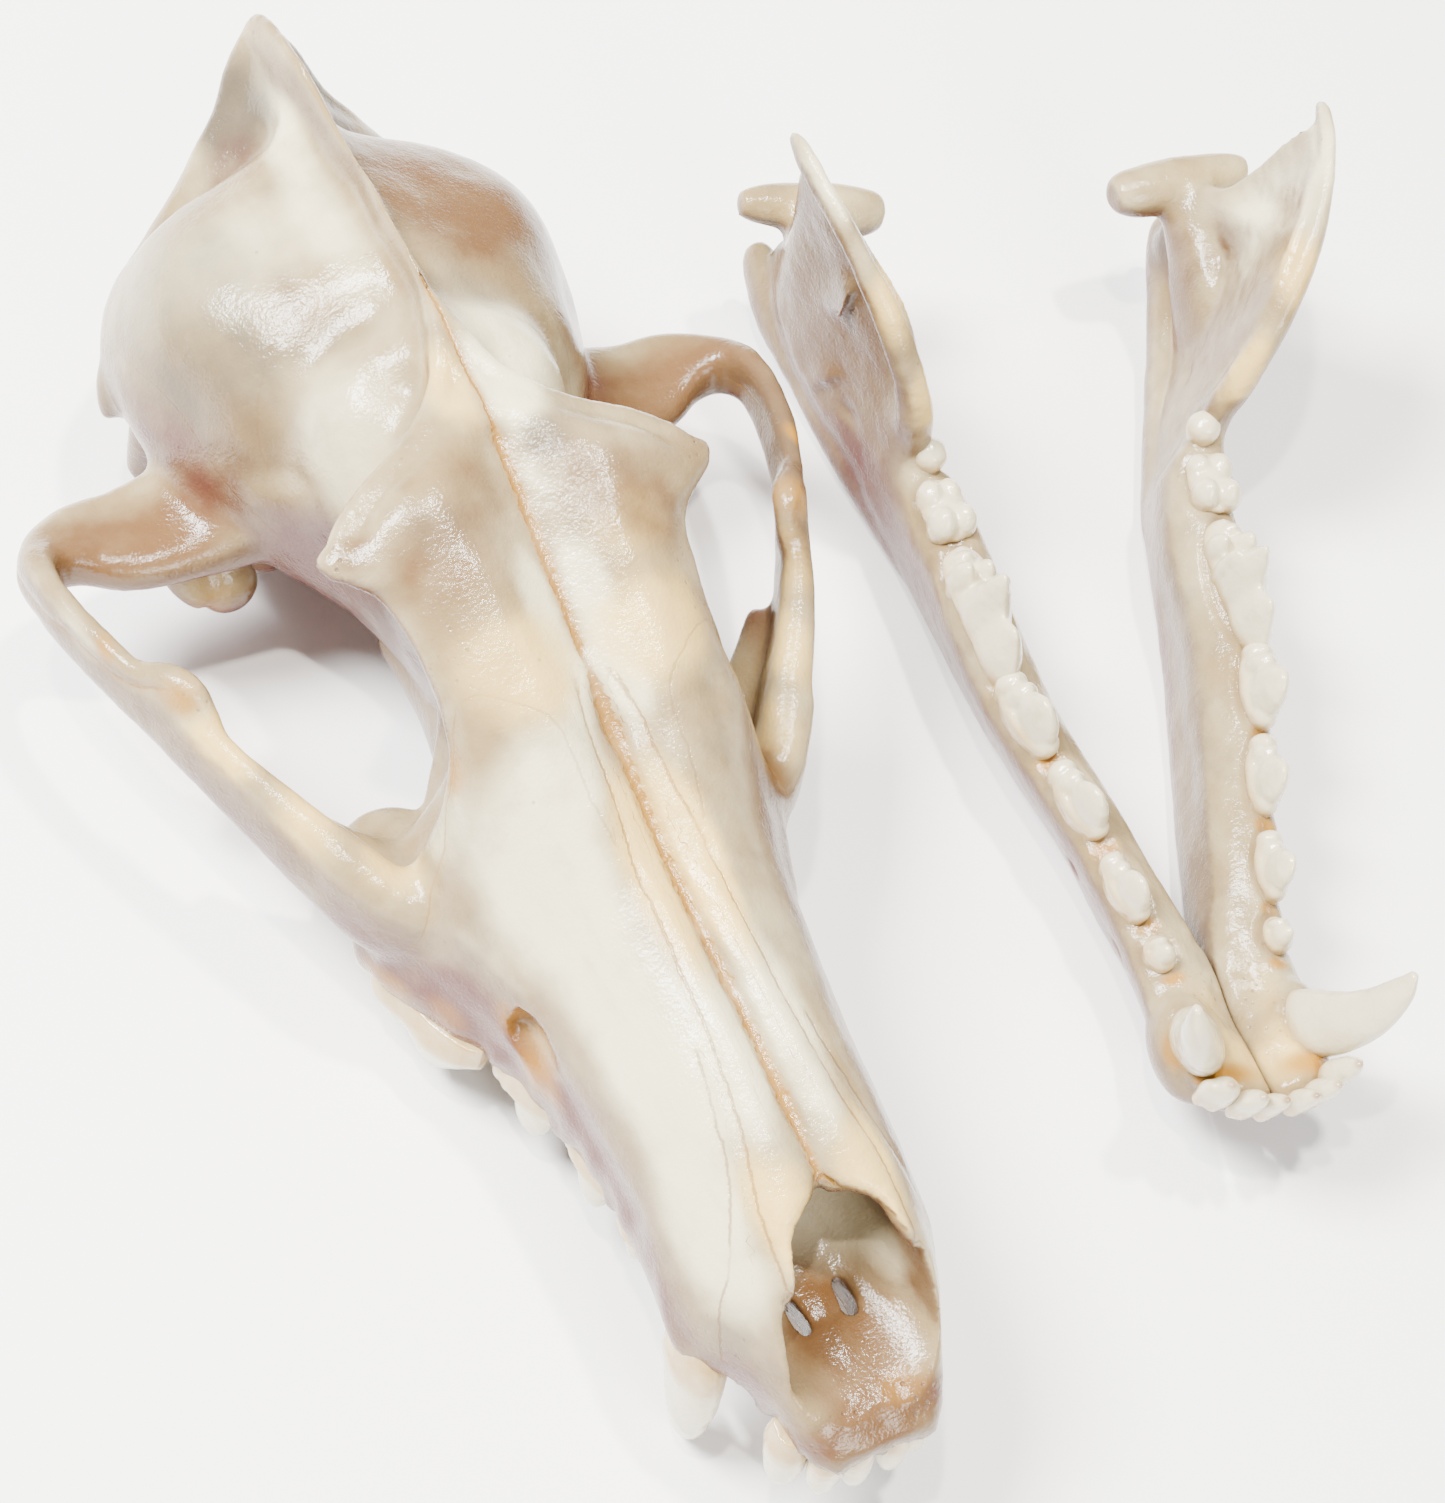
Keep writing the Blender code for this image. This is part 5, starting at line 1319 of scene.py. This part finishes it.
@dataclass
class JawBone:
    """One half of the lower jaw."""

    side: Side
    teeth: ToothRow
    yaw: float = math.radians(-12.6)
    # its zero point in millimetres from the low corner of the left solid's box
    zero: Row = (-0.086, 4.404, -0.296)
    voxel: float = 0.48
    gap: float = 0.08
    # cross-sections: y, x and z of the lower and of the upper edge, half width below and above
    stations: str = (
        "-1.6 3.4 17 3.6 20 2.2 2.8, 1.5 3.9 12 4.5 20.8 3.2 4, 6 3.8 7 6 19.9 3.4 5.6, "
        "12 3.9 3.5 6.6 18.5 3.4 5.8, 19 4 1.8 6 17.9 3.4 5.8, 26 4.6 1.1 7.3 18.3 3.2 5.2, "
        "34 6.2 0.6 9.5 19.1 3 4.9, 45 8.4 0.5 12.5 19.7 2.9 4.8, 58 12 0 16.5 20.3 3 4.9, "
        "72 15.4 0 18.9 20.9 3.1 5.3, 86 18.2 0 19.7 21.5 3.1 5.2, 96 20.4 0.6 21.2 22.4 3 4.6, "
        "100 21.4 0.7 23.4 25.5 2.9 3, 103 22.4 0.9 25.6 34 2.7 1.8, 107 23.6 1.2 27 42.4 2.2 1.1, "
        "113 25.8 2 30.4 48.6 1.8 0.9, 119 28.2 3 33.8 51.6 1.6 0.85, 125 30 4 36.8 53.2 1.5 0.8, "
        "129.5 30.9 5.2 38.2 53.4 1.5 0.8, 132 31.1 6 38.3 51.4 1.6 0.9, "
        "133.6 31.3 6.6 36.8 45.5 1.7 1.1, 134.8 31.4 7.4 34.5 37 1.8 1.4, "
        "136.2 31.5 8.4 32.6 29.5 1.8 1.7, "
        "138.5 31.9 9.8 31.4 25.5 1.7 1.8, 141 32.4 10.8 31.8 21 1.7 1.7"
    )
    limbs: tuple = (
        # front edge of the upright plate
        "23 100.5 17 2.4 3, 23.9 101.6 25 2.4 2.8, 25 102.2 31 2.5 2.6, 27 104 37 2.2 2.3, "
        "29.6 107.2 42.5 2 2.1, 32.8 112 47.6 1.8 2.1, 36 118.8 51.4 1.5 2.2, 38.6 126.5 53.2 1.3 2.3, "
        "39.8 131.8 53.6 1 1.9, 40.2 134.6 52.8 0.4 0.8",
        # lower edge, out to the hooked corner
        "17.8 82 6 1.6 3, 20 94 5 2.7 4.2, 22.6 103 4.8 2.8 4.2, 26.4 115 5.3 2.6 3.8, "
        "30 127 7.5 2.6 3.6, 32.2 135 9.6 2.8 4.6, 33.2 140.5 12 2.8 4.8, 33.8 143.6 13.4 2.4 3.6, "
        "34.2 145.2 14 1.2 1.8",
        # neck of the joint
        "30 118 16 2 7, 30 126 20.5 2.8 7, 30.4 133 24 3.6 5.6, 30 139.6 26.9 3.8 3.8",
        # web from the neck up to the plate
        "33.6 116 38 0.5 3, 33.6 122 36 0.9 5, 32.8 131 31 1.9 4.6, 31.5 137 28.4 2.6 3.2",
        # roller of the joint
        "18.6 139.6 26.9 2.4 2.4, 20.4 139.8 27 3.4 3.3, 23.5 140 27.1 4 3.8, 28 140.6 27.5 4.1 3.8, "
        "34 141.2 28.1 3.6 3.3, 38 141.5 28.6 2.9 2.8, 40.6 141.6 28.9 1.9 1.9",
    )
    # swelling over the canine's root
    bulge: Row = (7.6, 10.0, 14.0, 5.0, 8.0, 6.4)
    # centre and radii of the places where the bodies meet and are smoothed, and of the rough one
    joints: str = "31 131 26 8 12 12, 24 100 16 5 8 12, 34 128 38 4 9 9"
    rough: str = "2.5 14 17 4 12 4"
    marks: tuple = (
        # muscle pit on the outer face, ridge below it
        *dabs("38 121 34 3.4 9 13 -1.1, 32 112 24 4 7 9 -0.8"),
        Stroke("23 98 9, 28 108 9.5, 32 120 12, 34.5 130 17", 0.4, 2.4),
        # inner face: nerve opening, hollow of the plate
        *dabs("27.2 113 16.5 1.6 2.2 1.6 -1.6, 33 122 40 3 8 9 -0.5"),
        # front: chin openings and the rough face between the halves
        *dabs("9.6 27 10 1.4 1.7 1.2 -1.5, 13 40 10 1.4 1.4 1 -1.2, 3.4 16 16 2.4 4 3 -0.6, "
              "3.2 8 18 2 2.4 2 0.5"),
        Stroke("4.6 30 13, 5.6 44 11, 8.6 60 9, 13 78 8", -0.45, 4),
        # dents between the sockets
        *dabs(each("9.6 26.4, 12.2 38.2, 16 51.8, 18.8 64.6, 20.4 85.4, 21.2 95.2",
                   "18.5 1.6 1.4 2.4 -0.55")),
    )
    stains: tuple = read_stains(
        # outer face of the right half, inner face of the left one; the tan on the right half's outer face
        # is partly painted shade, the pale on the left half's inner face partly painted light
        "tan 33 122 30 7 14 16 0.75 -1, grey 34 120 40 5 10 10 0.35 -1, tan 30 132 20 8 10 9 0.6",
        "pale 34 122 42 6 12 12 0.8 1, ivory 24.5 101 36 3.4 5 9 0.7, ivory 31 110 47 3.4 7 5 0.7",
        "pale 38 127 54 3.4 9 3.4 0.7, tan 32 112 42 2 8 7 0.5 1, ivory 32 140 28 12 4 4 0.35",
        "pale 20 139 27 3 3 3 0.5",
        # bodies; the rose along their lower sides is painted shade with rosy painted bounce light
        "rose 17 60 8 7 50 7 0.95 -1, rose 25 98 9 7 26 8 0.75 -1, rose 13 70 2 8 60 4 0.7 1",
        "tan 12 30 10 5 20 7 0.45 -1, tan 20 90 17 5 16 5 0.4 -1, grey 14 60 12 4 40 6 0.25 1",
        "pale 16 76 17 3 14 4 0.3 1, pale 8 30 12 3 12 5 0.3 1, ivory 3 5 19 4 5 3 0.7",
        "ivory 5 14 17 3 6 3 0.3, amber 6.4 3 19.6 5 2.2 2.4 0.8, amber 11 8.5 18 2.4 3 2.4 0.6",
        each("amber 8 18.6, amber 9.6 26.4, amber 12.2 38.2, amber 16 51.8, amber 18.8 64.6",
             "19 2.2 1.3 2.2 0.75"),
        "pores 4 12 17 4 8 4 0.6, pores 33 142 10 4 4 4 0.4, rose 32 142 10 4 5 5 0.4"
    )

    def placement(self) -> Matrix:
        """The jaw's frame, from the box of its left solid."""
        low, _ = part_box("lower_jaw_left")
        return frame_at((0, 0, self.yaw), Vector(low) + Vector(self.zero) * MM)

    def ring(self, station: Row) -> np.ndarray:
        """One cross-section, from its lower and upper edge."""
        y, low_x, low_z, top_x, top_z, low_half, top_half = station
        low, top = np.array([low_x, y, low_z]), np.array([top_x, y, top_z])
        lower_share, upper_share = 0.22, 0.8
        lower, upper = low + lower_share * (top - low), low + upper_share * (top - low)
        out = np.array([1.0, 0.0, 0.0])
        points = np.array([low, lower + out * low_half, upper + out * top_half, top,
                           upper - out * top_half, lower - out * low_half])
        points[:, 0] = np.maximum(points[:, 0], self.gap)
        ring = even_ring(points, count=64)
        ring[:, 0] = np.maximum(ring[:, 0], self.gap) * self.side.value
        return ring

    def build(self, finish: bpy.types.Material) -> None:
        """Build, sculpt and dress this half in the bone's material."""
        bm = bmesh.new()
        add_stations(bm, map(self.ring, table(self.stations)))
        for run in self.limbs:
            add_limb(bm, run, self.side)
        add_lump(bm, self.bulge, self.side)
        skin = Skin.remeshed(as_mesh(bm, "half"), self.voxel, 5)
        skin.relax(skin.blobs(self.joints) * SMOOTHING, passes=60)
        skin.carve(self.marks)
        # the face between the halves stays flat
        free = fade(skin.folded[:, 0], 0.2, 1.6)
        skin.roughen("12 0.22, 5 0.12, 2.2 0.06, 1.1 0.03", seed=20 + self.side.value, weight=free)
        skin.roughen("1.7 0.3, 0.9 0.15", seed=31, weight=skin.blobs(self.rough) * free)
        self.teeth.seat(skin)
        skin.points[:, 0] = self.side.value * np.maximum(skin.points[:, 0] * self.side.value, self.gap)
        skin.points[:, 2] = np.maximum(skin.points[:, 2], 0.0)
        skin.settle()
        # it has no seams, but the finish reads their values
        skin.sew([])
        skin.find_hollows()
        skin.paint(self.stains)
        name = f"lower_jaw_{self.side.word}"
        skin.finish(name + "_bone", self.placement(), name, "bone", finish)


@dataclass
class Studio:
    """Camera, floor and light."""

    # the solved camera: focal length and picture height in pixels, sensor in millimetres, axes, place
    focal: float = 3017.57
    height: float = 1503.0
    sensor: float = 36.0
    look: Row = (0.37479847, 0.34250819, -0.86151857)
    right: Row = (0.87502468, -0.43775885, 0.20663736)
    down: Row = (-0.30636239, -0.83129738, -0.46377446)
    place: Row = (-125.172, -44.478, 344.719)
    sky: Row = (0.97, 0.98, 1.0, 1.0)
    sky_strength: float = 0.36
    ground: Row = (0.97, 0.97, 0.97, 1.0)
    ground_half: float = 3.0
    # name, place and size in metres, watts and colour
    lamps: tuple = (
        ("key", (-0.48, 0.3, 0.75), 0.3, 38.0, (1.0, 0.99, 0.97)),
        ("lamp", (0.1, 0.08, 0.96), 0.05, 13.0, (1.0, 0.96, 0.88)),
        ("spark", (-0.25, 0.06, 0.94), 0.035, 8.0, (1.0, 0.93, 0.82)),
        ("fill", (0.0, -0.85, 0.6), 0.4, 11.0, (1.0, 0.97, 0.93)),
    )

    def camera(self, zero: Vector) -> None:
        """Put the camera where the photo was taken from, given the cranium's zero point."""
        data = bpy.data.cameras.new("camera")
        data.sensor_width = self.sensor
        data.lens = self.focal * self.sensor / self.height
        data.clip_start = 0.01
        item = bpy.data.objects.new("camera", data)
        turn = Matrix((self.right, -Vector(self.down), -Vector(self.look))).transposed()
        item.matrix_world = Matrix.Translation(zero + Vector(self.place) * MM) @ turn.to_4x4()
        bpy.context.scene.collection.objects.link(item)
        bpy.context.scene.camera = item

    def floor(self) -> None:
        """A wide pale floor."""
        bm = bmesh.new()
        bmesh.ops.create_grid(bm, x_segments=1, y_segments=1, size=self.ground_half)
        mesh = as_mesh(bm, "floor")
        board = Board("floor")
        mesh.materials.append(board.finish({"Base Color": self.ground, "Roughness": 0.9}))
        item = bpy.data.objects.new("floor", mesh)
        bpy.context.scene.collection.objects.link(item)

    def lights(self) -> None:
        """Even light all round, a key, a weak fill and two small warm lamps for the glints."""
        world = bpy.data.worlds.new("world")
        world.use_nodes = True
        inputs = world.node_tree.nodes["Background"].inputs
        inputs["Color"].default_value = self.sky
        inputs["Strength"].default_value = self.sky_strength
        bpy.context.scene.world = world
        for name, place, size, power, colour in self.lamps:
            data = bpy.data.lights.new(name, "AREA")
            data.size = size
            data.energy = power
            data.color = colour
            item = bpy.data.objects.new(name, data)
            item.location = place
            item.rotation_euler = (-Vector(place)).to_track_quat("-Z", "Y").to_euler()
            bpy.context.scene.collection.objects.link(item)


def main() -> None:
    """Build the skull and its studio."""
    logging.basicConfig(level=logging.INFO, format="%(name)s %(message)s")
    bone = BoneFinish().make()
    enamel = EnamelFinish().make()
    upper = ToothRow("upper", UPPER_TEETH, UPPER_CANINE, -1)
    lower = ToothRow("lower", LOWER_TEETH, LOWER_CANINE, 1)
    cranium = Cranium(upper)
    cranium.build(bone)
    for side in Side:
        jaw = JawBone(side, lower)
        jaw.build(bone)
        upper.build(side, cranium.placement(), enamel)
        lower.build(side, jaw.placement(), enamel)
    studio = Studio()
    studio.camera(cranium.placement().translation)
    studio.floor()
    studio.lights()


if __name__ == "__main__":
    main()
